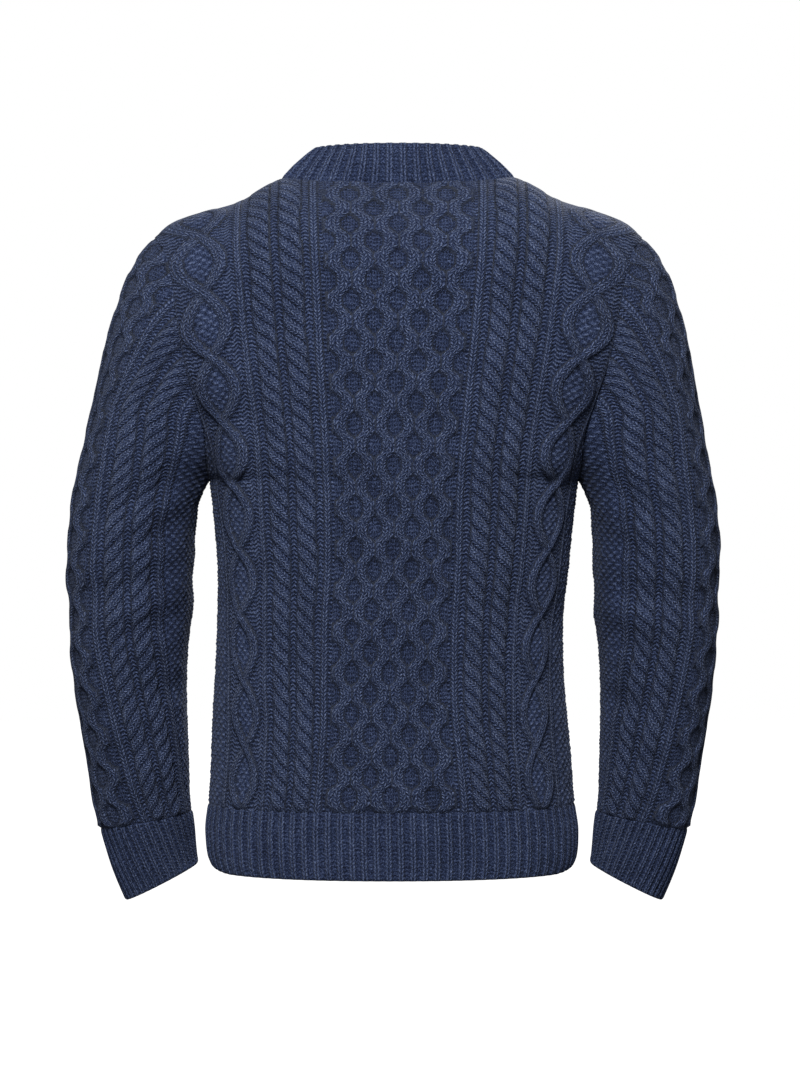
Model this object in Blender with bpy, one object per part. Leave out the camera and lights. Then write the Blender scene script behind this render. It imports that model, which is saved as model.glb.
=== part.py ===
"""Cable knit sweater, worn by nobody: nine knitted pieces as thin hollow walls.

Lengths here are millimetres and become metres at the end. +Z up, back of the
garment +Y, wearer's left +X, origin at the neck opening.
u counts stitches (wales) from a panel's centre line, v is the length along a
wale from the panel's lower seam.
"""
import math

import bpy
import numpy as np
from mathutils.geometry import delaunay_2d_cdt

for old in list(bpy.data.objects):
    bpy.data.objects.remove(old, do_unlink=True)

GAP = 0.3           # between pieces at a seam
WALL = 2.4          # ground knit, without the cables
RIB_WALL = 2.0
ROPE_P = 15.1       # 4 rows
HONEY_P = 38.0      # 10 rows
CHAIN_P = 61.3      # 16 rows
BODY_Z = -594.0     # body to hem seam
HEM_Z = -656.0      # bottom of the hem
NECK_X = 111.0
SIDE_U = 53.0       # stitches from centre to side seam
TIP_Z = -57.0       # armhole, top
ARM_Z = -287.0      # armhole, bottom
HEM_RIBS, CUFF_RIBS, COLLAR_RIBS = 42, 34, 46


def table(text):
    """Named columns of numbers, sorted by the first one."""
    lines = [line.split() for line in text.strip().splitlines()]
    rows = np.array([[float(v) for v in line] for line in lines[1:]])
    rows = rows[np.argsort(rows[:, 0])]
    return {name: rows[:, i] for i, name in enumerate(lines[0])}


def smooth(table_, name, z, key="z"):
    """A monotone cubic through a table's column."""
    x, y = table_[key], table_[name]
    z = np.clip(np.asarray(z, float), x[0], x[-1])
    h = np.diff(x)
    d = np.diff(y) / h
    m = np.zeros(len(x))
    m[1:-1] = np.where(d[:-1] * d[1:] > 0, 2 * d[:-1] * d[1:] / np.where(d[:-1] + d[1:] == 0, 1, d[:-1] + d[1:]), 0)
    m[0], m[-1] = d[0], d[-1]
    i = np.clip(np.searchsorted(x, z) - 1, 0, len(h) - 1)
    t = (z - x[i]) / h[i]
    return (y[i] * (1 + 2 * t) * (1 - t) ** 2 + m[i] * h[i] * t * (1 - t) ** 2
            + y[i + 1] * t * t * (3 - 2 * t) + m[i + 1] * h[i] * t * t * (t - 1))


def step(a, b, x):
    t = np.clip((np.asarray(x, float) - a) / (b - a), 0, 1)
    return t * t * (3 - 2 * t)


# Where the 14th, 28.5th, 36th and 42.5th stitch from the centre run, and how
# deep the centre of the back and of the front is, by height.
BODY = table("""
z     x14   x28    x36    x42    back  front
-656  71.0  126.0  146.0  164.0  117   120
-594  68.5  121.0  140.5  158.0  116   119
-546  63.7  116.2  135.0  152.0  113   117
-508  60.4  114.7  133.4  149.5  110   115
-457  59.5  114.8  135.5  149.0  107   113
-417  59.6  115.7  139.5  151.5  107   113
-352  59.7  119.7  143.0  156.8  110   117
-307  60.4  122.5  148.0  162.5  113   122
-287  61.4  123.5  151.5  165.5  114   125
-261  62.9  125.3  155.5  169.5  115   127
-212  66.9  132.0  163.5  186.0  115   129
-163  71.2  139.5  172.5  204.0  113   127
-113  74.8  145.1  181.0  214.0  110   124
-63   78.0  149.7  186.0  233.0  110   122
60    82.0  151.0  188.0  236.0  110   122
""")
SIDE = table("""
z     x
-656  172
-646  176
-634  177.5
-619  178
-594  175
-577  173
-546  170
-508  167
-463  164
-420  163
-363  166
-320  170
-287  174
""")
ARMHOLE = table("""
z     x      back  front
-287  174    0     0
-280  174.5  18    16
-262  176    38    34
-235  179.5  52    48
-212  187    59    55
-182  197    62    58
-134  206    62    57
-98   212    60    55
-71   220    56    51
-57   231    52    47
60    250    48    44
""")
SHOULDER = table("""
x     z
0     30
40    25
60    15.5
80    5.8
100   0.9
111   0
130   -9
151   -20
175   -28
198   -36
215   -43.5
231   -56.5
250   -75
""")
NECK = table("""
x     back   front
0     -10.5  -75
30    -10    -70
60    -8.5   -50
85    -5.5   -25
100   -2.5   -10
107   -1     -4
111   0      0
""")


def unit(a):
    a = np.asarray(a, float)
    return a / np.maximum(np.linalg.norm(a, axis=-1, keepdims=True), 1e-12)


def side_x(z):
    """Half the width of the body: the side seam below the armhole, the armhole's edge above it."""
    return np.where(z <= ARM_Z, smooth(SIDE, "x", z), smooth(ARMHOLE, "x", z))


def full_depth(x, z, face):
    """Distance from the side plane to the panel, before the shoulder rounds it over."""
    edge = side_x(z)
    arm = np.where(z <= ARM_Z, 0.0, smooth(ARMHOLE, face, z))
    mid = smooth(BODY, face, z)
    up = step(-300, -215, z)
    p, q = 2.2 + 0.2 * up, 2.2 - 0.85 * up
    t = np.clip(x / edge, 0, 1)
    y = arm + (mid - arm) * (1 - t ** p) ** (1 / q)
    return np.maximum(np.where(x > edge, arm - 0.8 * (x - edge), y), 0.0)


def depth(x, z, face):
    to_shoulder = step(20, 125, x)
    reach = (145 if face == "back" else 255) * (1 - to_shoulder) + (105 if face == "back" else 115) * to_shoulder
    q = 1 + to_shoulder
    d = np.clip((smooth(SHOULDER, "z", x, "x") - z) / reach, 0, 1)
    return full_depth(x, z, face) * (1 - (1 - d) ** 2) ** (1 / q)


def wale_x(us, zs, face):
    """x of each stitch line at each height, from arc lengths measured along the level section."""
    out = np.zeros((len(us), len(zs)))
    t = 1 - (1 - np.linspace(0, 1, 161)) ** 1.8
    for j, z in enumerate(zs):
        edge = float(side_x(z))
        x = t * edge
        y = full_depth(x, z, face)
        s = np.concatenate([[0], np.cumsum(np.hypot(np.diff(x), np.diff(y)))])

        def at(v):
            v = float(v)
            return np.interp(v, x, s) if v <= edge else s[-1] + (v - edge) * 1.3

        knots = [0] + [at(smooth(BODY, k, z)) for k in ("x14", "x28", "x36", "x42")]
        knots.append(s[-1] if z <= ARM_Z else max(knots[-1] + 10.5 * 4.9, s[-1] * 1.001))
        knots = np.maximum.accumulate(np.array(knots) + np.arange(6) * 1e-6)
        want = np.interp(us, [0, 14, 28.5, 36, 42.5, SIDE_U], knots)
        inside = np.interp(want, s, x)
        out[:, j] = np.where(want > s[-1], edge + (want - s[-1]) / 1.3, inside)
    return out


class Panel:
    """The back or the front as a map from (u, v) to a point, one side; the other side mirrors it."""

    def __init__(self, face):
        self.face, self.sign = face, 1 if face == "back" else -1
        self.us = np.arange(0, SIDE_U + 0.01, 0.5)
        zs = np.arange(BODY_Z, 61, 2.0)
        grid = wale_x(self.us, zs, face)
        grid[:, 1:-1] = (grid[:, :-2] + 2 * grid[:, 1:-1] + grid[:, 2:]) / 4
        self.columns, self.lengths, self.at_z = [], [], []
        for i, u in enumerate(self.us):
            fine = np.arange(BODY_Z, 60.9, 0.25)
            x = np.interp(fine, zs, grid[i])
            if u == SIDE_U:
                x = np.where(fine <= ARM_Z, side_x(fine), x)
            top = smooth(SHOULDER, "z", x, "x")
            over = np.flatnonzero(fine >= top)[0]
            z_end = float(fine[over])
            tau = np.linspace(0, 1, 500)
            z = z_end - (z_end - BODY_Z) * (1 - tau) ** 2
            x = np.interp(z, fine, x)
            y = depth(x, z, face)
            y[-1] = 0
            pts = np.stack([x, y, z], 1)
            long = np.concatenate([[0], np.cumsum(np.linalg.norm(np.diff(pts, axis=0), axis=1))])
            self.columns.append(pts)
            self.lengths.append(long)
            self.at_z.append(z)

    def v_at(self, u, z):
        """Length along wale |u| at height z."""
        f = np.clip(abs(u) / 0.5, 0, len(self.us) - 1.001)
        i = int(f)
        a, b = (float(np.interp(z, self.at_z[k], self.lengths[k])) for k in (i, i + 1))
        return a + (b - a) * (f - i)

    def point(self, u, v):
        u, v = np.asarray(u, float), np.asarray(v, float)
        f = np.clip(np.abs(u) / 0.5, 0, len(self.us) - 1 - 1e-9)
        i = f.astype(int)
        out = np.zeros((len(u), 3))
        for k in np.unique(i):
            m = i == k
            a, b = (np.stack([np.interp(v[m], self.lengths[c], self.columns[c][:, d]) for d in range(3)], 1) for c in (k, k + 1))
            out[m] = a + (b - a) * (f[m] - k)[:, None]
        out[:, 0] *= np.sign(u) + (u == 0)
        out[:, 1] *= self.sign
        return out

    def normal(self, u, v):
        u, v = np.asarray(u, float), np.asarray(v, float)
        du, dv = 0.6, 2.5
        a = self.point(np.minimum(u + du, SIDE_U - 1e-6), v) - self.point(np.maximum(u - du, -SIDE_U + 1e-6), v)
        b = self.point(u, v + dv) - self.point(u, np.maximum(v - dv, 0))
        n = np.cross(a, b) * -self.sign
        return n / np.linalg.norm(n, axis=1)[:, None]


def edge_u(panel, z):
    """The wale that the armhole cuts at height z."""
    x = np.array([np.interp(z, panel.at_z[i], panel.columns[i][:, 0]) for i in range(len(panel.us))])
    return float(np.interp(float(smooth(ARMHOLE, "x", z)), x, panel.us))


SLEEVE_OUT = table("""
z     x
-700  250
-687  256
-662  266
-650  270
-619  278.5
-577  287
-534  294
-491  301
-448  305
-406  307
-377  308
-349  307
-320  305
-292  301
-263  295
-235  290
-206  283.5
-178  278
-149  272
-121  263.5
-106  259
-92   254
-78   247.5
-66   239.5
-57   231
""")
SLEEVE_IN = table("""
z     x
-700  186
-655  187
-648  188
-619  190.5
-577  196
-534  198
-491  199
-448  197
-406  192
-377  191
-334  190.5
-310  185
-292  178.5
-287  175
""")
# Rings of the sleeve by the height of their middle: tilt (outer side lower is
# plus), half depth, how far the arm hangs forward, and where the middle stitch
# sits, in degrees from the back, minus outwards.
RINGS = table("""
z     tilt  deep  fore  turn
-669  27    39.5  46    -72
-650  20    41    43    -76
-613  10.6  43.5  37    -84
-577  7     46    31    -91
-534  4     49    25    -96
-491  1     52    20    -99
-448  -2    54.5  14    -102
-406  -6    57    9     -104
-360  -10   59    5     -106
-305  -13   60    2     -107
""")
STITCHES = table("""
v     n
0     66
110   69
200   72
300   76
600   76
""")
# Where wales 14 and 28.5 lie, as parts of the way round: the ropes draw the
# cloth in, and the pattern turns about the arm.
WALES = table("""
v    first  second
0    0.243  0.412
60   0.231  0.415
130  0.220  0.402
200  0.206  0.383
260  0.209  0.384
315  0.214  0.386
365  0.187  0.357
410  0.163  0.325
500  0.166  0.335
600  0.178  0.350
""")
CUFF_SEAM, CUFF_END, CAP_RING = -613.0, -669.0, -305.0


def ring(z, at):
    """One ring of the left sleeve, its points these parts of the way from the middle stitch round by the back."""
    tilt = math.radians(float(smooth(RINGS, "tilt", z)))
    deep, fore = float(smooth(RINGS, "deep", z)), float(smooth(RINGS, "fore", z))
    turn = math.radians(float(smooth(RINGS, "turn", z)))
    half, mid = 55.0, 240.0
    for _ in range(30):
        out = float(smooth(SLEEVE_OUT, "x", z - half * math.sin(tilt)))
        inn = float(smooth(SLEEVE_IN, "x", z + half * math.sin(tilt)))
        half, mid = (out - inn) / 2 / math.cos(tilt), (out + inn) / 2
    psi = turn + np.linspace(0, 2 * math.pi, 721)
    e = 2 / 2.12
    a = -np.sign(np.sin(psi)) * np.abs(np.sin(psi)) ** e * half
    b = np.sign(np.cos(psi)) * np.abs(np.cos(psi)) ** e * deep
    p = np.stack([mid + a * math.cos(tilt), b - fore, z - a * math.sin(tilt)], 1)
    s = np.concatenate([[0], np.cumsum(np.linalg.norm(np.diff(p, axis=0), axis=1))])
    return np.stack([np.interp(at * s[-1], s, p[:, k]) for k in range(3)], 1)


PANELS = {face: Panel(face) for face in ("back", "front")}


def armhole_samples(n=20):
    """Heights down the armhole, top to bottom."""
    c = np.cos(np.linspace(0, math.pi, n))
    return (TIP_Z + ARM_Z) / 2 + (TIP_Z - ARM_Z) / 2 * c


def armhole_uv(panel):
    """(u, v) of the armhole's edge, top to bottom."""
    rows = []
    for z in armhole_samples():
        u = SIDE_U if z <= ARM_Z + 1e-6 else edge_u(panel, z)
        rows.append((u, panel.v_at(u, z)))
    return np.array(rows)


class Sleeve:
    """The left sleeve as a map from (u, v): v from the cuff up, u round from the middle stitch, plus to the back."""

    ROUND = 144

    def __init__(self):
        edges = {f: PANELS[f].point(*armhole_uv(PANELS[f]).T) for f in PANELS}
        for e in edges.values():
            e[0, 1] = e[-1, 1] = 0.0
        tip = (edges["back"][0] + edges["front"][0]) / 2
        low = (edges["back"][-1] + edges["front"][-1]) / 2
        loop = np.concatenate([[tip], edges["back"][1:-1], [low], edges["front"][1:-1][::-1], [tip]])
        s = np.concatenate([[0], np.cumsum(np.linalg.norm(np.diff(loop, axis=0), axis=1))])
        low_at = len(edges["back"]) - 1
        # the underarm is half the way round in stitches
        part = np.where(s <= s[low_at], s / s[low_at] / 2, 0.5 + (s - s[low_at]) / (s[-1] - s[low_at]) / 2)
        self.loop, self.loop_part = loop[:-1], part[:-1]
        clear = self.clear_of(self.loop, low_at)
        loop = loop + np.concatenate([clear, clear[:1]]) * (GAP + 0.3)
        self.loop = loop[:-1]
        n = self.ROUND
        f = np.arange(n) / n
        top = np.stack([np.interp(f, part, loop[:, k]) for k in range(3)], 1)
        cap = ring(CAP_RING, f)
        outer_z = np.linspace(TIP_Z, float(cap[0][2]), 60)
        sil = np.stack([smooth(SLEEVE_OUT, "x", outer_z), 0 * outer_z, outer_z], 1)
        sil = sil + (cap[0] - sil[-1]) * np.linspace(0, 1, 60)[:, None] ** 2
        long = np.concatenate([[0], np.cumsum(np.linalg.norm(np.diff(sil, axis=0), axis=1))])
        rings = []
        weight = (0.5 + 0.5 * np.cos(2 * math.pi * f))[:, None]
        low = np.minimum(f, 1 - f)
        push = (step(0.22, 0.4, low) * (1 - 0.8 * step(0.41, 0.49, low)))[:, None] * [5.0, 0, 0]
        for t in np.linspace(0, 1, 31):
            line = np.array([np.interp(t * long[-1], long, sil[:, k]) for k in range(3)])
            bulge = line - (top[0] * (1 - t) + cap[0] * t)
            rings.append(top * (1 - t) + cap * t + bulge * weight + push * math.sin(math.pi * t) ** 0.6)
        below = [ring(z, f) for z in np.linspace(CAP_RING, CUFF_SEAM, 50)[1:]]
        grid = np.array(rings + below)[::-1]      # from the cuff up
        for _ in range(3):
            grid[1:-1] = (grid[:-2] + 2 * grid[1:-1] + grid[2:]) / 4
        self.grid = grid
        self.long = np.concatenate([np.zeros((1, n)), np.cumsum(np.linalg.norm(np.diff(grid, axis=0), axis=2), axis=0)])

    @staticmethod
    def clear_of(loop, low_at):
        """Which way the sleeve's edge stands off the panels' edge: on along the panel at the shoulder, out from it in the armpit."""
        out = np.zeros_like(loop)
        along = unit(np.roll(loop, -1, 0) - np.roll(loop, 1, 0))
        for i in range(len(loop)):
            face = "back" if i <= low_at else "front"
            k = i if i <= low_at else len(loop) - i
            u, v = armhole_uv(PANELS[face])[k]
            n = PANELS[face].normal([u], [v])[0]
            on = unit(np.cross(along[i], n))
            inward = PANELS[face].point([u - 2.5], [v - 2])[0] - loop[i]
            on = -on if on @ inward > 0 else on
            down = float(step(-200, -287, loop[i][2]))
            out[i] = unit(on * (1 - down) + n * down)
            if k == 0:
                out[i] = [0.9, 0, -0.45]
            if k == low_at:
                out[i] = [1, 0, 0]
        return unit(out)

    def count(self, v):
        return np.interp(v, STITCHES["v"], STITCHES["n"])

    def knots(self, v):
        """Wales and the parts of the way round where they lie."""
        return (0, 14, 28.5, self.count(v) / 2), (0, smooth(WALES, "first", v, "v"), smooth(WALES, "second", v, "v"), 0.5)

    def part(self, u, v):
        w, at = self.knots(v)
        a = np.abs(u)
        out = np.where(a < w[1], at[1] * a / w[1], at[1] + (at[2] - at[1]) * (a - w[1]) / (w[2] - w[1]))
        out = np.where(a > w[2], at[2] + (at[3] - at[2]) * (a - w[2]) / (w[3] - w[2]), out)
        return np.sign(u) * out

    def wale(self, part, v):
        w, at = self.knots(v)
        a = np.abs(part)
        out = np.where(a < at[1], w[1] * a / at[1], w[1] + (w[2] - w[1]) * (a - at[1]) / (at[2] - at[1]))
        out = np.where(a > at[2], w[2] + (w[3] - w[2]) * (a - at[2]) / (at[3] - at[2]), out)
        return np.sign(part) * out

    def end(self, part):
        """Length of the wale that starts at this part of the way round."""
        n = self.ROUND
        return np.interp(np.asarray(part) % 1.0, np.arange(n + 1) / n, np.append(self.long[-1], self.long[-1, 0]))

    def point(self, u, v):
        u, v = np.asarray(u, float), np.asarray(v, float)
        n = self.ROUND
        g = self.part(u, v) % 1.0 * n
        i = np.minimum(g.astype(int), n - 1)
        f = (g - i)[:, None]
        out = np.zeros((len(u), 3))
        for k in np.unique(i):
            m = i == k
            a, b = (np.stack([np.interp(v[m], self.long[:, c], self.grid[:, c, d]) for d in range(3)], 1) for c in (k, (k + 1) % n))
            out[m] = a * (1 - f[m]) + b * f[m]
        return out

    def normal(self, u, v):
        u, v = np.asarray(u, float), np.asarray(v, float)
        a = self.point(u + 0.6, v) - self.point(u - 0.6, v)
        top = self.end(self.part(u, v))
        b = self.point(u, np.minimum(v + 3, top)) - self.point(u, np.clip(v - 3, 0, top - 3))
        n = np.cross(a, b)
        return n / np.linalg.norm(n, axis=1)[:, None]


SLEEVE = Sleeve()


# ---------------------------------------------------------------- the relief
def rope(u, v, mid, lean):
    x = u - mid
    env = np.clip(1 - (np.abs(x) / 2.0) ** 2.6, 0, 1)
    return env * (2.6 + 1.1 * np.cos(2 * math.pi * (v / ROPE_P - lean * x / 4.2)))


def honeycomb(u, v):
    """Two sets of strands that part and meet: pits at (8i, 0) and (8i + 4, P/2)."""
    a, b = 2 * math.pi * u / 8, 2 * math.pi * (v - HONEY_V) / HONEY_P
    wave = np.maximum(0.25 * (1 + np.cos(a)) * (1 + np.cos(b)), 0.25 * (1 - np.cos(a)) * (1 - np.cos(b)))
    return 3.3 * (1 - wave) ** 1.1 * np.clip((12.6 - np.abs(u)) / 1.2, 0, 1)


def swing(v):
    """How many stitches each strand of the chain stands off its middle."""
    return SWING * np.abs(np.sin(math.pi * (v - CHAIN_V) / CHAIN_P))


def chain(u, v):
    """Two strands that part and cross, with moss between them."""
    x, out = u - CHAIN_U, swing(v)
    strand = np.maximum(np.clip(1 - ((x - out) / 1.35) ** 2, 0, 1), np.clip(1 - ((x + out) / 1.35) ** 2, 0, 1))
    return 3.3 * strand ** 0.7 + 0.7 * (np.abs(x) < out)


TWINS = (14.0, 28.5, 42.5)
ROPES = (18.4, 24.1)
CHAIN_U, CHAIN_V, HONEY_V = 35.75, -2.5, 14.0
SWING = 4.0


def relief(u, v, mirrored):
    """How far the cables stand out of the ground knit."""
    side, a = np.where(u < 0, -1, 1), np.abs(u)
    lean = side if not mirrored else np.ones_like(side)
    h = honeycomb(u, v) * (a < 12.6)
    for mid in ROPES:
        h = np.maximum(h, rope(a, v, mid, lean) * (np.abs(a - mid) < 2.05))
    for mid in TWINS[:2] if mirrored else TWINS:
        h = np.maximum(h, 1.7 * np.clip(1 - (np.abs(a - mid) / 1.0) ** 2, 0, 1))
    if not mirrored:
        h = np.maximum(h, chain(a, v) * (np.abs(a - CHAIN_U) < 5.6))
    return h


# ------------------------------------------------------------------ the skins
def inside(poly, pts):
    x, y = pts[:, 0], pts[:, 1]
    hit = np.zeros(len(pts), bool)
    for (x0, y0), (x1, y1) in zip(poly, np.roll(poly, -1, 0)):
        if y0 == y1:
            continue
        cross = (y0 > y) != (y1 > y)
        hit ^= cross & (x < x0 + (y - y0) * (x1 - x0) / (y1 - y0))
    return hit


def clearance(poly, pts):
    best = np.full(len(pts), 1e9)
    for a, b in zip(poly, np.roll(poly, -1, 0)):
        d = b - a
        t = np.clip(((pts - a) @ d) / max(d @ d, 1e-12), 0, 1)
        best = np.minimum(best, np.linalg.norm(pts - a - t[:, None] * d, axis=1))
    return best


def triangulate(poly, lines, scale=4.6):
    """(flat points, triangles): a sheet with this outline that follows these lines of points."""
    poly = np.asarray(poly, float) * [scale, 1]
    pts, edges = [p for p in poly], [(i, (i + 1) % len(poly)) for i in range(len(poly))]
    for line, clear, joined in lines:
        line = np.asarray(line, float) * [scale, 1]
        ok = inside(poly, line) & (clearance(poly, line) > clear)
        last = None
        for p, good in zip(line, ok):
            if good:
                pts.append(p)
                if last is not None and joined:
                    edges.append((last, len(pts) - 1))
                last = len(pts) - 1
            else:
                last = None
    pts = np.array(pts)
    _, _, faces, origin, _, _ = delaunay_2d_cdt([tuple(p) for p in pts], edges, [], 0, 1e-5, True)
    if len(origin) != len(pts) or any(len(o) != 1 for o in origin):
        raise ValueError(f"the flat points changed: {len(pts)} to {len(origin)}")
    back = np.array([o[0] for o in origin])
    tri = back[np.array(faces)]
    mid = pts[tri].mean(1)
    tri = tri[inside(poly, mid)]
    a, b, c = (pts[tri[:, k]] for k in range(3))
    turn = (b - a)[:, 0] * (c - a)[:, 1] - (b - a)[:, 1] * (c - a)[:, 0]
    tri[turn < 0] = tri[turn < 0][:, ::-1]
    tri = tri[np.abs(turn) > 1e-3]
    return pts / [scale, 1], tri


def column(u, start, pitch, end):
    v = np.arange(start % pitch, end, pitch)
    return np.stack([np.full(len(v), u), v], 1)


def cable_lines(end, mirrored, coarse):
    """The lines of points that carry the cables, for both sides of the middle."""
    lines = []
    p = HONEY_P / 4
    for j in range(int(end / p) + 1):
        us = (-8, -4, 0, 4, 8) if j % 2 == 1 else (-10, -6, -2, 2, 6, 10)
        lines.append((np.array([(u, HONEY_V + (j - 1) * p) for u in us], float), 3.5, True))
    for s in (-1, 1):
        lines.append((column(s * (33.5 if mirrored else 48.0), 8, 24.0, end), 6.0, True))
        for u in (12.6,):
            lines.append((column(s * u, HONEY_V + p, p * 2, end), 3.5, True))
        for mid in TWINS[:2] if mirrored else TWINS:
            for d in (-0.9, 0, 0.9):
                lines.append((column(s * (mid + d), coarse / 2, coarse * 1.25, end), 3.0, True))
        for mid in ROPES:
            lean = s if not mirrored else 1
            for d in (-2.0, 2.0):
                lines.append((column(s * (mid + d), coarse * 0.25, coarse, end), 3.0, True))
            for d in (-0.9, 0.9):
                # the tops and the hollows of the twist
                lines.append((column(s * (mid + d), ROPE_P * lean * d / 4.2, ROPE_P / 2, end), 4.0, True))
        if not mirrored:
            v = CHAIN_V + CHAIN_P / 6 * np.arange(-1, int(6 * end / CHAIN_P) + 1)
            apart, widest = np.arange(len(v)) % 6 != 1, np.arange(len(v)) % 6 == 4
            for d in (-1, 1):
                lines.append((np.stack([s * (CHAIN_U + d * (swing(v) + 1.35)), v], 1), 3.5, True))
                lines.append((np.stack([s * (CHAIN_U + d * swing(v)), v], 1)[apart], 3.5, False))
            lines.append((np.stack([np.full(len(v), s * CHAIN_U), v], 1)[widest | ~apart], 4.0, False))
    return lines


def fade(poly, flat, reach=9.0, scale=4.6):
    return step(0.5, reach, clearance(np.asarray(poly, float) * [scale, 1], flat * [scale, 1]))


def solid(name, outer, outer_tri, inner, inner_tri, outer_rim, inner_rim):
    """Two skins and the rims between them, as one closed body. The rims pair up point by point."""
    n = len(outer)
    faces = [tuple(t) for t in outer_tri] + [tuple(t[::-1] + n) for t in inner_tri]
    for a, b in zip(outer_rim, inner_rim):
        faces += zip_rim(a, [i + n for i in b])
    return put(name, np.concatenate([outer, inner]), faces)


def zip_rim(a, b, place=None):
    """Triangles between two runs of points, a on the outer skin with the piece on its left; place says how far along each point of b is."""
    faces, i, j = [], 0, 0
    place = np.linspace(0, 1, len(b)) if place is None else place
    while i < len(a) - 1 or j < len(b) - 1:
        if j == len(b) - 1 or (i < len(a) - 1 and (i + 1) / (len(a) - 1) <= place[j + 1] + 1e-9):
            faces.append((a[i + 1], a[i], b[j]))
            i += 1
        else:
            faces.append((a[i], b[j], b[j + 1]))
            j += 1
    return faces


def put(name, points, faces):
    used, index = np.unique(np.array([i for f in faces for i in f]), return_inverse=True)
    faces = index.reshape(-1, 3)
    mesh = bpy.data.meshes.new(name)
    mesh.from_pydata([tuple(p / 1000) for p in points[used]], [], [tuple(int(i) for i in f) for f in faces])
    mesh.update()
    obj = bpy.data.objects.new(name, mesh)
    bpy.context.scene.collection.objects.link(obj)
    print(name, len(faces), "triangles")
    return obj


def rim_of(n, drop=None):
    """Direction through the wall at an edge, from the outer skin inwards, kept in the seam's plane."""
    n = -np.array(n, float)
    if drop is not None:
        n[..., drop] = 0
    return unit(n)


def neck_uv(panel, x):
    z = float(smooth(NECK, panel.face, x, "x"))
    xs = np.array([np.interp(z, panel.at_z[i], panel.columns[i][:, 0]) for i in range(len(panel.us))])
    u = float(np.interp(x, xs, panel.us))
    return u, panel.v_at(u, z)


def neck_samples(n=11):
    return NECK_X * np.sin(np.linspace(math.pi / 2, 0, n))


def collar_lean(x, face):
    """Outward direction of the collar at its seam, for the shared rim."""
    return unit(np.array([x / NECK_X * 0.75, (1 if face == "back" else -1) * math.sqrt(max(1 - (x / NECK_X) ** 2, 0)), 0.45]))


def panel_outline(panel):
    """One side's outline from the hem's middle round to the neck's middle: (u, v), kind."""
    rows = []
    for u in np.linspace(0, SIDE_U, 17):
        rows.append((u, 0.0, "hem"))
    for z in np.linspace(BODY_Z, ARM_Z, 10)[1:-1]:
        rows.append((SIDE_U, panel.v_at(SIDE_U, z), "side"))
    arm = armhole_uv(panel)
    for u, v in arm[1:][::-1]:
        rows.append((u, v, "arm"))
    tip_u = arm[0][0]
    for u in np.linspace(tip_u, 20.2, 8):
        f = u / 0.5
        i = min(int(f), len(panel.us) - 2)
        end = panel.lengths[i][-1] * (1 - (f - i)) + panel.lengths[i + 1][-1] * (f - i)
        rows.append((u, end - 0.02, "tip" if u == tip_u else "shoulder"))
    for x in neck_samples()[1:]:
        rows.append((*neck_uv(panel, x), "neck"))
    return rows


def build_panel(face):
    panel, sign = PANELS[face], PANELS[face].sign
    half = panel_outline(panel)
    ring_ = half + [(-u, v, k) for u, v, k in half[::-1][1:-1]]
    poly = np.array([(u, v) for u, v, _ in ring_])
    kinds = [k for _, _, k in ring_]
    end = 640.0
    flat, tri = triangulate(poly, cable_lines(end, False, 67.0))
    coarse = [(column(u, 20, 36.0 if abs(u) < 40 else 28.0, end), 14.0, False) for u in np.linspace(-48, 48, 13)]
    flat_in, tri_in = triangulate(poly, coarse)

    edge = panel.point(poly[:, 0], poly[:, 1])
    normal = panel.normal(poly[:, 0], poly[:, 1])
    rim = np.zeros_like(edge)
    for i, (k, (u, v)) in enumerate(zip(kinds, poly)):
        s = 1 if u >= 0 else -1
        corner_low = k == "hem" and abs(u) > SIDE_U - 1e-6
        under = k == "arm" and abs(u) > SIDE_U - 1e-6
        if k in ("hem",):
            edge[i, 2] = BODY_Z + GAP / 2
            rim[i] = rim_of(normal[i], 2)
        if k in ("side", "shoulder", "tip") or corner_low or under:
            edge[i, 1] = sign * GAP / 2
            rim[i] = rim_of(normal[i], 1)
        if corner_low or under:
            rim[i] = [-s, 0, 0]
        if k == "arm" and not under:
            rim[i] = arm_rim(face, abs(u), v, normal[i], s)
        if k == "tip":
            rim[i] = unit([-0.45 * s, 0, -1.0])
        if k == "neck":
            lean = collar_lean(abs(edge[i, 0]), face) * [s, 1, 1]
            rim[i] = rim_of(unit(normal[i] + lean))
        if k == "shoulder" and abs(abs(u) - 20.2) < 1e-6:
            rim[i] = unit([-0.5 * s, 0, -1.0])
    outer = panel.point(flat[:, 0], flat[:, 1])
    n = len(poly)
    h = relief(flat[n:, 0] * 1.0, flat[n:, 1], False) * fade(poly, flat[n:])
    outer[n:] += panel.normal(flat[n:, 0], flat[n:, 1]) * h[:, None]
    outer[:n] = edge
    inner = panel.point(flat_in[:, 0], flat_in[:, 1])
    inner[n:] -= panel.normal(flat_in[n:, 0], flat_in[n:, 1]) * WALL
    inner[:n] = edge + rim * WALL
    if sign > 0:  # seen from behind, u grows to the left
        tri, tri_in = tri[:, ::-1], tri_in[:, ::-1]
    loop = list(range(n)) + [0]
    loop = loop[::-1] if sign > 0 else loop
    return solid(face, outer, tri, inner, tri_in, [loop], [loop])


def arm_rim(face, u, v, normal, s):
    """The wall's direction at the armhole: shared with the sleeve where the two bend over an edge, its own in the armpit."""
    own = unit(normal * [s, 1, 1])
    sleeve = sleeve_normal_at(face, u, v)
    share = float(step(-0.35, 0.25, own @ sleeve))
    return -unit(own + share * sleeve) * [s, 1, 1]


def sleeve_normal_at(face, u, v):
    p = PANELS[face].point([u], [v])[0]
    i = int(np.argmin(np.linalg.norm(SLEEVE.loop - p, axis=1)))
    return loop_normals()[i]


def loop_uv():
    """(u, v) on the sleeve of each armhole sample, u from 0 round by the back."""
    part = SLEEVE.loop_part
    part = np.where(part > 0.5 + 1e-9, part - 1, part)
    return SLEEVE.wale(part, SLEEVE.end(part)), SLEEVE.end(part)


_normals = []


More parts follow.
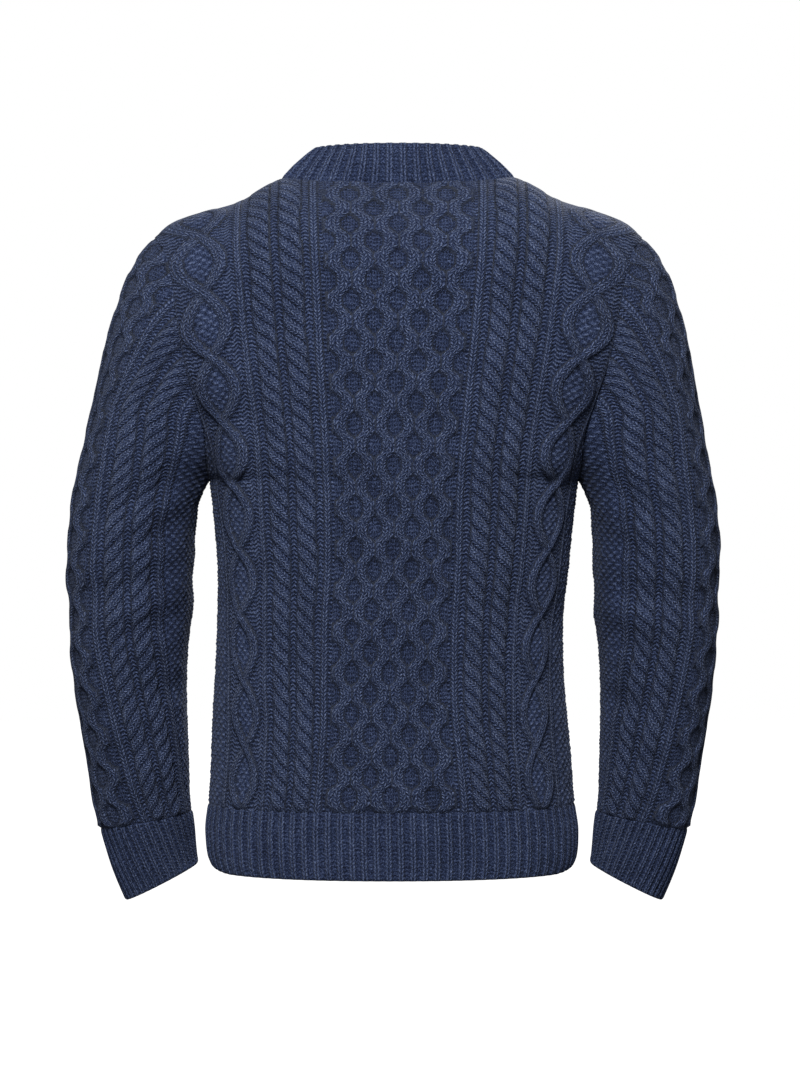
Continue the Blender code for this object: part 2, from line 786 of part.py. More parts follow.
def loop_normals():
    if not _normals:
        u, v = loop_uv()
        _normals.append(SLEEVE.normal(u, v - 4.0))
    return _normals[0]


def loop_rims():
    """Per armhole sample: the sleeve's wall direction and the way it leaves the seam."""
    u, v = loop_uv()
    rims, n = [], loop_normals()
    half = len(armhole_samples()) - 1
    for i in range(len(u)):
        face = "back" if i <= half else "front"
        k = i if i <= half else 2 * half - i
        pu, pv = armhole_uv(PANELS[face])[k]
        own = n[i]
        if k == 0:
            rims.append(unit([-0.45, 0, -1.0]))
            continue
        if k == half:
            rims.append(unit([1.0, 0, 0]))
            continue
        other = unit(PANELS[face].normal([pu], [pv])[0])
        share = float(step(-0.35, 0.25, own @ other))
        rims.append(-unit(own + share * other))
    return np.array(rims)


def build_sleeve(side):
    us, vs = loop_uv()
    order = np.argsort(-us)                      # from the underarm at +38 to -38
    low_v = float(vs[order[0]])
    seam_v = np.linspace(0, low_v, 12)
    low_u = SLEEVE.count(0) / 2
    bottom = [(u, 0.0) for u in np.linspace(-low_u, low_u, 29)]
    right = [(float(SLEEVE.count(v)) / 2, v) for v in seam_v[1:-1]]
    top = [(us[i], vs[i]) for i in order] + [(-us[order[0]], low_v)]
    left = [(-u, v) for u, v in right[::-1]]
    poly = np.array(bottom + right + top + left)
    nb, nr, nt = len(bottom), len(right), len(top)
    flat, tri = triangulate(poly, cable_lines(620.0, True, 72.0))
    coarse = [(column(u, 12, 40.0, 620.0), 12.0, False) for u in np.arange(-30.6, 31, 6.8)]
    flat_in, tri_in = triangulate(poly, coarse)
    n = len(poly)

    # the seam's right side and left side are the same points
    same = np.arange(max(len(flat), len(flat_in)))
    same[nb + nr + nt - 1] = nb + nr
    for k in range(nr):
        same[nb + nr + nt + k] = nb + nr - 1 - k
    same[0] = nb - 1

    def place(flat_, depth_sign, h):
        p = SLEEVE.point(flat_[:, 0], flat_[:, 1])
        nn = SLEEVE.normal(flat_[:, 0], flat_[:, 1])
        return p, nn

    outer, normal = place(flat, 1, 0)
    base = outer.copy()
    h = np.zeros(len(flat))
    h[n:] = relief(flat[n:, 0], flat[n:, 1], True) * fade_sleeve(poly, flat[n:], nb, nr, nt)
    outer += normal * h[:, None]
    inner, normal_in = place(flat_in, -1, 0)
    inner_base = inner.copy()
    inner -= normal_in * WALL
    # the cuff seam lies in one tilted plane
    axis = cuff_axis()
    for k in range(nb):
        p = base[k] + axis * GAP / 2
        r = -normal[k] - axis * (-normal[k] @ axis)
        outer[k], inner[k] = p, p + unit(r) * WALL
    rims = loop_rims()
    for j, i in enumerate(list(order) + [order[0]]):
        k = nb + nr + j
        p = SLEEVE.loop[i]
        outer[k], inner[k] = p, p + rims[i] * WALL
    outer_tri, inner_tri = same[tri], same[tri_in]
    if side == "right":
        outer, inner = outer * [-1, 1, 1], inner * [-1, 1, 1]
        outer_tri, inner_tri = outer_tri[:, ::-1], inner_tri[:, ::-1]
    low = [nb - 1] + list(range(1, nb))
    high = list(range(nb + nr, nb + nr + nt - 1)) + [nb + nr]
    loops = [low, high]
    if side == "right":
        loops = [a[::-1] for a in loops]
    return solid("sleeve_" + side, outer, outer_tri, inner, inner_tri, loops, loops)


def fade_sleeve(poly, flat, nb, nr, nt, scale=4.6):
    lines = [poly[:nb], poly[nb + nr:nb + nr + nt]]
    best = np.full(len(flat), 1e9)
    for line in lines:
        line = line * [scale, 1]
        p = flat * [scale, 1]
        for a, b in zip(line[:-1], line[1:]):
            d = b - a
            t = np.clip(((p - a) @ d) / (d @ d), 0, 1)
            best = np.minimum(best, np.linalg.norm(p - a - t[:, None] * d, axis=1))
    return step(0.5, 9, best)


def cuff_axis():
    """Up the arm, square to the cuff seam's plane."""
    tilt = math.radians(float(smooth(RINGS, "tilt", CUFF_SEAM)))
    return np.array([math.sin(tilt), 0, math.cos(tilt)])


def rib_lines(ribs, closed):
    """Where each rib's two edges and each furrow's two edges lie, as parts of the way along the band."""
    at = ((np.arange(ribs)[:, None] + [0.08, 0.42, 0.58, 0.92]) / ribs).ravel()
    return at if closed else np.concatenate([[0], at[1:-1], [1]])


def ribbed(name, rows, inner_rows, closed, flip, place=None):
    """A ribbed band. rows: bottom to top, (base points by rib line, outward directions); inner rows the same, coarse."""
    outer, inner = [], []
    for base, out, height in rows:
        bump = np.where(np.arange(len(base)) % 4 < 2, height, 0.0)
        outer.append(base + out * bump[:, None])
    for base, out in inner_rows:
        inner.append(base - out * RIB_WALL)
    cols, cols_in = len(outer[0]), len(inner[0])
    pts = np.concatenate(outer + inner)
    start = cols * len(outer)
    faces = []

    def at(r, c):
        return r * cols + (c % cols if closed else c)

    def at_in(r, c):
        return start + r * cols_in + (c % cols_in if closed else c)

    last, last_in = (cols, cols_in) if closed else (cols - 1, cols_in - 1)
    for r in range(len(outer) - 1):
        for c in range(last):
            a, b, d, e = at(r, c), at(r, c + 1), at(r + 1, c + 1), at(r + 1, c)
            faces += [(a, b, d), (a, d, e)]
    for r in range(len(inner) - 1):
        for c in range(last_in):
            a, b, d, e = at_in(r, c), at_in(r, c + 1), at_in(r + 1, c + 1), at_in(r + 1, c)
            faces += [(a, d, b), (a, e, d)]
    low = [at(0, c) for c in range(last + 1)], [at_in(0, c) for c in range(last_in + 1)]
    high = [at(len(outer) - 1, c) for c in range(last + 1)], [at_in(len(inner) - 1, c) for c in range(last_in + 1)]
    faces += zip_rim(*low, place)
    faces += [f[::-1] for f in zip_rim(*high, place)]
    if not closed:
        left = [at(r, 0) for r in range(len(outer))], [at_in(r, 0) for r in range(len(inner))]
        right = [at(r, last) for r in range(len(outer))], [at_in(r, last_in) for r in range(len(inner))]
        faces += [f[::-1] for f in zip_rim(*left)]
        faces += zip_rim(*right)
    if flip:
        faces = [f[::-1] for f in faces]
    return put(name, pts, faces)


def hem_row(face, z, at, seam):
    """Points along the hem band at height z from the -X side seam to the +X one, and the way out."""
    s = np.linspace(0, 1, 721)
    a = float(smooth(SIDE, "x", z))
    b = float(smooth(BODY, face, z))
    t = np.linspace(-math.pi / 2, math.pi / 2, 721)
    e = 2 / 2.2
    x = np.sign(np.sin(t)) * np.abs(np.sin(t)) ** e * a
    y = np.abs(np.cos(t)) ** e * b
    long = np.concatenate([[0], np.cumsum(np.hypot(np.diff(x), np.diff(y)))])
    want = at * long[-1]
    x, y = np.interp(want, long, x), np.interp(want, long, y)
    sign = 1 if face == "back" else -1
    p = np.stack([x, sign * np.maximum(y, seam), np.full(len(at), z)], 1)
    d = np.gradient(p, axis=0)
    out = unit(np.stack([d[:, 1], -d[:, 0], 0 * d[:, 0]], 1)) * -sign
    out[0], out[-1] = [-1, 0, 0], [1, 0, 0]
    return p, out


def build_hem(face):
    rows = []
    for z, height in ((HEM_Z, 1.3), (BODY_Z - GAP / 2, 1.3)):
        rows.append((*hem_row(face, z, rib_lines(HEM_RIBS, False), GAP / 2), height))
    inner = []
    for z in (HEM_Z, BODY_Z - GAP / 2):
        inner.append(hem_row(face, z, np.linspace(0, 1, 33), GAP / 2))
    return ribbed("hem_" + face, rows, inner, False, face == "back")


def build_cuff(side):
    rows, inner = [], []
    axis = cuff_axis()
    for z, height in ((CUFF_END, 1.2), (CUFF_SEAM, 1.2)):
        for at, into in ((rib_lines(CUFF_RIBS, True), rows), (np.arange(28) / 28, inner)):
            p = ring(z, at)
            if z == CUFF_SEAM:
                p = p - axis * GAP / 2
            mid = p.mean(0)
            d = np.roll(p, -1, 0) - np.roll(p, 1, 0)
            tilt = math.radians(float(smooth(RINGS, "tilt", z)))
            along = np.array([math.sin(tilt), 0, math.cos(tilt)])
            out = unit(np.cross(d, along))
            out *= np.sign((out * (p - mid)).sum(1))[:, None]
            into.append((p, out, height) if into is rows else (p, out))
    if side == "right":
        rows = [(p * [-1, 1, 1], o * [-1, 1, 1], h) for p, o, h in rows]
        inner = [(p * [-1, 1, 1], o * [-1, 1, 1]) for p, o in inner]
    return ribbed("cuff_" + side, rows, inner, True, side == "right")


def neck_loop():
    """The neckline's points and wall directions, closed, from the wearer's left point round by the back."""
    out = []
    for face, forward in (("back", True), ("front", False)):
        panel = PANELS[face]
        half = []
        for x in neck_samples():
            u, v = neck_uv(panel, x) if x < NECK_X - 1e-6 else (20.2, None)
            if v is None:
                i = int(20.2 / 0.5)
                f = 20.2 / 0.5 - i
                v = panel.lengths[i][-1] * (1 - f) + panel.lengths[i + 1][-1] * f - 0.02
            p = panel.point([u], [v])[0]
            n = panel.normal([u], [v])[0]
            r = rim_of(unit(n + collar_lean(abs(p[0]), face)))
            if x >= NECK_X - 1e-6:
                p[1], r = 0, unit([-0.5, 0, -1.0])
            half.append((p, r))
        full = half + [(p * [-1, 1, 1], r * [-1, 1, 1]) for p, r in half[::-1][1:]]
        out += full[:-1] if forward else full[::-1][:-1]
    return np.array([p for p, _ in out]), np.array([r for _, r in out])


COLLAR = table("""
part   up    in
0      0     0
0.35   0.40  0.22
0.75   0.80  0.66
1      1     1
""")


def collar_top():
    """The collar's upper edge, by the same count of points as the neckline."""
    p, _ = neck_loop()
    mid_y = 3.0
    out = []
    for x, y, z in p:
        a = math.atan2((y - mid_y) / 60, x / NECK_X)
        back = max(math.sin(a), 0)
        front = max(-math.sin(a), 0)
        out.append([77 * math.copysign(abs(math.cos(a)) ** 0.95, math.cos(a)),
                    mid_y + 2 + (40 * back if a > 0 else -58 * front),
                    27.5 - 70 * front ** 1.7 + 0.5 * back])
    return np.array(out)


def build_collar():
    loop, rim = neck_loop()
    top = collar_top()
    n = len(loop)
    away = unit(np.cross(np.roll(loop, -1, 0) - np.roll(loop, 1, 0), rim))
    away *= np.sign((away * (top - loop)).sum(1))[:, None]
    loop = loop + away * (GAP + 0.15)

    def spread(points, at):
        closed = np.concatenate([points, points[:1]])
        s = np.concatenate([[0], np.cumsum(np.linalg.norm(np.diff(np.concatenate([loop, loop[:1]]), axis=0), axis=1))])
        return np.stack([np.interp(at * s[-1], s, closed[:, k]) for k in range(3)], 1)

    long = np.concatenate([[0], np.cumsum(np.linalg.norm(np.roll(loop, -1, 0) - loop, axis=1))])
    place = long / long[-1]
    rows, inner = [], []
    for part, height in ((0.0, 0.9), (0.5, 1.6), (1.0, 1.3)):
        rise, lean = float(smooth(COLLAR, "up", part, "part")), float(smooth(COLLAR, "in", part, "part"))
        p = loop.copy()
        p[:, 2] += (top[:, 2] - loop[:, 2]) * rise
        p[:, :2] += (top[:, :2] - loop[:, :2]) * lean
        for into in (rows, inner):
            move = (lambda a: spread(a, rib_lines(COLLAR_RIBS, True))) if into is rows else (lambda a: a)
            q = move(p)
            if part == 0:
                out = -unit(move(rim))
            else:
                d = np.roll(q, -1, 0) - np.roll(q, 1, 0)
                rise_dir = move(top - loop)
                out = unit(np.cross(d, rise_dir))
                mid = q.mean(0)
                out *= np.sign((out[:, :2] * (q - mid)[:, :2]).sum(1))[:, None]
            into.append((q, out, height) if into is rows else (q, out))
    return ribbed("collar", rows, inner, True, False, place)


for name in ("back", "front"):
    build_panel(name)
for name in ("left", "right"):
    build_sleeve(name)
    build_cuff(name)
for name in ("back", "front"):
    build_hem(name)
build_collar()
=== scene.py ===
"""The looks of a cable knit sweater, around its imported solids.

Lengths are millimetres until a mesh is made. u counts stitches (wales) from a
piece's middle, v is the length along a wale from its lower seam, as in the
solids. Cables are real relief; single stitches are bump from the wale and row
numbers that each vertex carries.
"""
import math

import bpy
import numpy as np
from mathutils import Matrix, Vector


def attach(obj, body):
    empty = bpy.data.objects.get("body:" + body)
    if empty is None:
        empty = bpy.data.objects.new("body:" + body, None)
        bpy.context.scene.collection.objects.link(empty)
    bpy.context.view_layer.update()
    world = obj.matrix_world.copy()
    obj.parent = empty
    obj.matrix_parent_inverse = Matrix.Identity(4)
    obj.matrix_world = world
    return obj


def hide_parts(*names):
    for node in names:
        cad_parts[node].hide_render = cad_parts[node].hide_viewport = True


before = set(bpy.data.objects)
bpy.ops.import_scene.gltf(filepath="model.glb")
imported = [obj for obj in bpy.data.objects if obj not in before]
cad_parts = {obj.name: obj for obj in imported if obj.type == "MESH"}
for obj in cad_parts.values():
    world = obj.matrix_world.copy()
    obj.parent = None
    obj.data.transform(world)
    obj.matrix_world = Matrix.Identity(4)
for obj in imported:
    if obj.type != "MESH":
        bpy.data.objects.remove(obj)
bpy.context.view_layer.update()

GAP = 0.3  # between two pieces at a seam
ROW = 3.8  # height of a row
WIDE = 4.6  # width of a stitch
FLAT = np.array([WIDE, 1.0])  # from (u, v) to millimetres of flat cloth
ROPE_P, HONEY_P, CHAIN_P = 15.1, 38.0, 61.3  # 4, 10 and 16 rows
BODY_Z, HEM_Z = -594.0, -656.0
NECK_X, NECK_U = 111.0, 20.2  # the neck point and the wale that ends there
SIDE_U, WALE_STEP = 53.0, 0.5  # the side seam's wale; from one column to the next
TIP_Z, ARM_Z = -57.0, -287.0
HEM_RIBS, CUFF_RIBS, COLLAR_RIBS = 42, 34, 46
HEM_COLS, CUFF_COLS, COLLAR_COLS = 15, 13, 16  # points across a rib


def table(text):
    """Named columns of numbers."""
    lines = [line.split() for line in text.strip().splitlines()]
    rows = np.array([[float(v) for v in line] for line in lines[1:]])
    return {name: rows[:, i] for i, name in enumerate(lines[0])}


def smooth(columns, name, at, key="z"):
    """A monotone cubic through a table's column."""
    x, y = columns[key], columns[name]
    at = np.clip(np.asarray(at, float), x[0], x[-1])
    h = np.diff(x)
    d = np.diff(y) / h
    pair = d[:-1] + d[1:]
    m = np.zeros(len(x))
    m[1:-1] = np.where(d[:-1] * d[1:] > 0, 2 * d[:-1] * d[1:] / np.where(pair == 0, 1, pair), 0)
    m[0], m[-1] = d[0], d[-1]
    i = np.clip(np.searchsorted(x, at) - 1, 0, len(h) - 1)
    t = (at - x[i]) / h[i]
    return (y[i] * (1 + 2 * t) * (1 - t) ** 2 + m[i] * h[i] * t * (1 - t) ** 2
            + y[i + 1] * t * t * (3 - 2 * t) + m[i + 1] * h[i] * t * t * (t - 1))


def value(columns, name, at, key="z"):
    return float(smooth(columns, name, at, key))


def step(a, b, x):
    """0 before a, 1 after b, smooth between them."""
    t = np.clip((np.asarray(x, float) - a) / (b - a), 0, 1)
    return t * t * (3 - 2 * t)


def unit(a):
    a = np.asarray(a, float)
    return a / np.maximum(np.linalg.norm(a, axis=-1, keepdims=True), 1e-12)


def running(steps):
    """The sum of the steps so far, from 0."""
    return np.concatenate([[0], np.cumsum(steps)])


def along(points):
    """How far each point is along the line of them all."""
    return running(np.linalg.norm(np.diff(points, axis=0), axis=1))


def sample(at, where, points):
    """Points at these places of a line whose own points are at where."""
    return np.stack([np.interp(at, where, points[:, k]) for k in range(3)], 1)


def onward(loop):
    """The way on at each point of a closed line."""
    return np.roll(loop, -1, 0) - np.roll(loop, 1, 0)


def facing(ways, outward):
    """These ways as unit vectors, turned outward."""
    ways = unit(ways)
    return ways * np.sign((ways * outward).sum(1))[:, None]


def girth(loop):
    """The length of a closed line, in metres."""
    return np.linalg.norm(np.roll(loop, -1, 0) - loop, axis=1).sum() / 1000


# Where the 14th, 28.5th, 36th and 42.5th stitch from the centre run, and how
# deep the centre of the back and of the front is, by height.
BODY = table("""
z     x14   x28    x36    x42    back  front
-656  71.0  126.0  146.0  164.0  117   120
-594  68.5  121.0  140.5  158.0  116   119
-546  63.7  116.2  135.0  152.0  113   117
-508  60.4  114.7  133.4  149.5  110   115
-457  59.5  114.8  135.5  149.0  107   113
-417  59.6  115.7  139.5  151.5  107   113
-352  59.7  119.7  143.0  156.8  110   117
-307  60.4  122.5  148.0  162.5  113   122
-287  61.4  123.5  151.5  165.5  114   125
-261  62.9  125.3  155.5  169.5  115   127
-212  66.9  132.0  163.5  186.0  115   129
-163  71.2  139.5  172.5  204.0  113   127
-113  74.8  145.1  181.0  214.0  110   124
-63   78.0  149.7  186.0  233.0  110   122
60    82.0  151.0  188.0  236.0  110   122
""")
SIDE = table("""
z     x
-656  172
-646  176
-634  177.5
-619  178
-594  175
-577  173
-546  170
-508  167
-463  164
-420  163
-363  166
-320  170
-287  174
""")
ARMHOLE = table("""
z     x      back  front
-287  174    0     0
-280  174.5  18    16
-262  176    38    34
-235  179.5  52    48
-212  187    59    55
-182  197    62    58
-134  206    62    57
-98   212    60    55
-71   220    56    51
-57   231    52    47
60    250    48    44
""")
SHOULDER = table("""
x     z
0     30
40    25
60    15.5
80    5.8
100   0.9
111   0
130   -9
151   -20
175   -28
198   -36
215   -43.5
231   -56.5
250   -75
""")
NECK = table("""
x     back   front
0     -10.5  -75
30    -10    -70
60    -8.5   -50
85    -5.5   -25
100   -2.5   -10
107   -1     -4
111   0      0
""")
# How far below the shoulder a panel starts to round over, at the neck and the arm.
ROUNDED = {"back": (145, 105), "front": (255, 115)}
OVER_EDGE = 1.3  # length for each mm past the armhole's edge


def side_x(z):
    """Half the width of the body: the side seam below the armhole, the armhole's edge above it."""
    return np.where(z <= ARM_Z, smooth(SIDE, "x", z), smooth(ARMHOLE, "x", z))


def full_depth(x, z, face):
    """Distance from the side plane to the panel, before the shoulder rounds it over."""
    edge = side_x(z)
    arm = np.where(z <= ARM_Z, 0.0, smooth(ARMHOLE, face, z))
    mid = smooth(BODY, face, z)
    up = step(-300, -215, z)
    p, q = 2.2 + 0.2 * up, 2.2 - 0.85 * up
    t = np.clip(x / edge, 0, 1)
    y = arm + (mid - arm) * (1 - t ** p) ** (1 / q)
    return np.maximum(np.where(x > edge, arm - 0.8 * (x - edge), y), 0.0)


def depth(x, z, face):
    """Distance from the side plane to the panel."""
    to_arm = step(20, 125, x)
    at_neck, at_arm = ROUNDED[face]
    reach = at_neck * (1 - to_arm) + at_arm * to_arm
    d = np.clip((smooth(SHOULDER, "z", x, "x") - z) / reach, 0, 1)
    return full_depth(x, z, face) * (1 - (1 - d) ** 2) ** (1 / (1 + to_arm))


def wale_x(us, zs, face):
    """x of each stitch line at each height, from arc lengths measured along the level section."""
    out = np.zeros((len(us), len(zs)))
    t = 1 - (1 - np.linspace(0, 1, 161)) ** 1.8
    for j, z in enumerate(zs):
        edge = float(side_x(z))
        x = t * edge
        s = running(np.hypot(np.diff(x), np.diff(full_depth(x, z, face))))

        def at(v):
            return np.interp(v, x, s) if v <= edge else s[-1] + (v - edge) * OVER_EDGE

        knots = [0] + [at(value(BODY, k, z)) for k in ("x14", "x28", "x36", "x42")]
        # 10.5 stitches of moss from the last knot to the side
        knots.append(s[-1] if z <= ARM_Z else max(knots[-1] + 10.5 * 4.9, s[-1] * 1.001))
        knots = np.maximum.accumulate(np.array(knots) + np.arange(6) * 1e-6)
        want = np.interp(us, [0, 14, 28.5, 36, 42.5, SIDE_U], knots)
        inside = np.interp(want, s, x)
        out[:, j] = np.where(want > s[-1], edge + (want - s[-1]) / OVER_EDGE, inside)
    return out


class Panel:
    """The back or the front as a map from (u, v) to a point, one side; the other side mirrors it."""

    def __init__(self, face):
        self.face, self.sign = face, 1 if face == "back" else -1
        self.us = np.arange(0, SIDE_U + 0.01, WALE_STEP)
        zs = np.arange(BODY_Z, 61, 2.0)
        fine = np.arange(BODY_Z, 60.9, 0.25)
        grid = wale_x(self.us, zs, face)
        grid[:, 1:-1] = (grid[:, :-2] + 2 * grid[:, 1:-1] + grid[:, 2:]) / 4
        self.columns, self.lengths = [], []
        for u, row in zip(self.us, grid):
            fine_x = np.interp(fine, zs, row)
            if u == SIDE_U:
                fine_x = np.where(fine <= ARM_Z, side_x(fine), fine_x)
            top = float(fine[np.flatnonzero(fine >= smooth(SHOULDER, "z", fine_x, "x"))[0]])
            z = top - (top - BODY_Z) * (1 - np.linspace(0, 1, 500)) ** 2
            x = np.interp(z, fine, fine_x)
            y = depth(x, z, face)
            y[-1] = 0
            self.columns.append(np.stack([x, y, z], 1))
            self.lengths.append(along(self.columns[-1]))

    def v_at(self, u, z):
        """Length along wale |u| at height z."""
        f = np.clip(abs(u) / WALE_STEP, 0, len(self.us) - 1.001)
        i = int(f)
        a, b = (float(np.interp(z, self.columns[k][:, 2], self.lengths[k])) for k in (i, i + 1))
        return a + (b - a) * (f - i)

    def end(self, u):
        """Length of a wale up to the shoulder, a hair short of its tip."""
        i = min(int(u / WALE_STEP), len(self.us) - 2)
        f = u / WALE_STEP - i
        return self.lengths[i][-1] * (1 - f) + self.lengths[i + 1][-1] * f - 0.02

    def u_at(self, x, z):
        """The wale that runs through x at height z."""
        return float(np.interp(x, [np.interp(z, c[:, 2], c[:, 0]) for c in self.columns], self.us))

    def point(self, u, v):
        u, v = np.array([u, v], float)
        f = np.clip(np.abs(u) / WALE_STEP, 0, len(self.us) - 1 - 1e-9)
        i = f.astype(int)
        out = np.zeros((len(u), 3))
        for k in np.unique(i):
            m = i == k
            a, b = (sample(v[m], self.lengths[c], self.columns[c]) for c in (k, k + 1))
            out[m] = a + (b - a) * (f[m] - k)[:, None]
        out[:, 0] *= np.sign(u) + (u == 0)
        out[:, 1] *= self.sign
        return out

    def normal(self, u, v):
        u, v = np.array([u, v], float)
        du, dv, last = 0.6, 2.5, SIDE_U - 1e-6
        a = self.point(np.minimum(u + du, last), v) - self.point(np.maximum(u - du, -last), v)
        b = self.point(u, v + dv) - self.point(u, np.maximum(v - dv, 0))
        return unit(np.cross(a, b) * -self.sign)


SLEEVE_OUT = table("""
z     x
-700  250
-687  256
-662  266
-650  270
-619  278.5
-577  287
-534  294
-491  301
-448  305
-406  307
-377  308
-349  307
-320  305
-292  301
-263  295
-235  290
-206  283.5
-178  278
-149  272
-121  263.5
-106  259
-92   254
-78   247.5
-66   239.5
-57   231
""")
SLEEVE_IN = table("""
z     x
-700  186
-655  187
-648  188
-619  190.5
-577  196
-534  198
-491  199
-448  197
-406  192
-377  191
-334  190.5
-310  185
-292  178.5
-287  175
""")
# Rings of the sleeve by the height of their middle: tilt (outer side lower is
# plus), half depth, how far the arm hangs forward, and where the middle stitch
# sits, in degrees from the back, minus outwards.
RINGS = table("""
z     tilt  deep  fore  turn
-669  27    39.5  46    -72
-650  20    41    43    -76
-613  10.6  43.5  37    -84
-577  7     46    31    -91
-534  4     49    25    -96
-491  1     52    20    -99
-448  -2    54.5  14    -102
-406  -6    57    9     -104
-360  -10   59    5     -106
-305  -13   60    2     -107
""")
STITCHES = table("""
v     n
0     66
110   69
200   72
300   76
600   76
""")
# Where wales 14 and 28.5 lie, as parts of the way round: the ropes draw the
# cloth in, and the pattern turns about the arm.
WALES = table("""
v    first  second
0    0.243  0.412
60   0.231  0.415
130  0.220  0.402
200  0.206  0.383
260  0.209  0.384
315  0.214  0.386
365  0.187  0.357
410  0.163  0.325
500  0.166  0.335
600  0.178  0.350
""")
CUFF_SEAM, CUFF_END, CAP_RING = -613.0, -669.0, -305.0


def ring(z, at):
    """One ring of the left sleeve: its points these parts of the way round from the middle stitch."""
    tilt, turn = (math.radians(value(RINGS, name, z)) for name in ("tilt", "turn"))
    deep, fore = (value(RINGS, name, z) for name in ("deep", "fore"))
    half = 55.0
    for _ in range(30):  # until both ends of the ring meet the outlines
        outer = value(SLEEVE_OUT, "x", z - half * math.sin(tilt))
        inner = value(SLEEVE_IN, "x", z + half * math.sin(tilt))
        half, mid = (outer - inner) / 2 / math.cos(tilt), (outer + inner) / 2
    psi = turn + np.linspace(0, 2 * math.pi, 721)
    e = 2 / 2.12  # a little squarer than an ellipse
    a = -np.sign(np.sin(psi)) * np.abs(np.sin(psi)) ** e * half
    b = np.sign(np.cos(psi)) * np.abs(np.cos(psi)) ** e * deep
    p = np.stack([mid + a * math.cos(tilt), b - fore, z - a * math.sin(tilt)], 1)
    s = along(p)
    return sample(at * s[-1], s, p)


PANELS = {face: Panel(face) for face in ("back", "front")}


def armhole_uv(panel):
    """(u, v) of the armhole's edge, top to bottom."""
    rows = []
    for z in (TIP_Z + ARM_Z) / 2 + (TIP_Z - ARM_Z) / 2 * np.cos(np.linspace(0, math.pi, 20)):
        u = SIDE_U if z <= ARM_Z + 1e-6 else panel.u_at(value(ARMHOLE, "x", z), z)
        rows.append((u, panel.v_at(u, z)))
    return np.array(rows)


def bent(x, knots, values):
    """Straight lines from 0 through three knots; the last one runs on past its end."""
    first, second = values[1:3]
    out = np.where(x < knots[1], first * x / knots[1],
                   first + (second - first) * (x - knots[1]) / (knots[2] - knots[1]))
    last = second + (values[3] - second) * (x - knots[2]) / (knots[3] - knots[2])
    return np.where(x > knots[2], last, out)


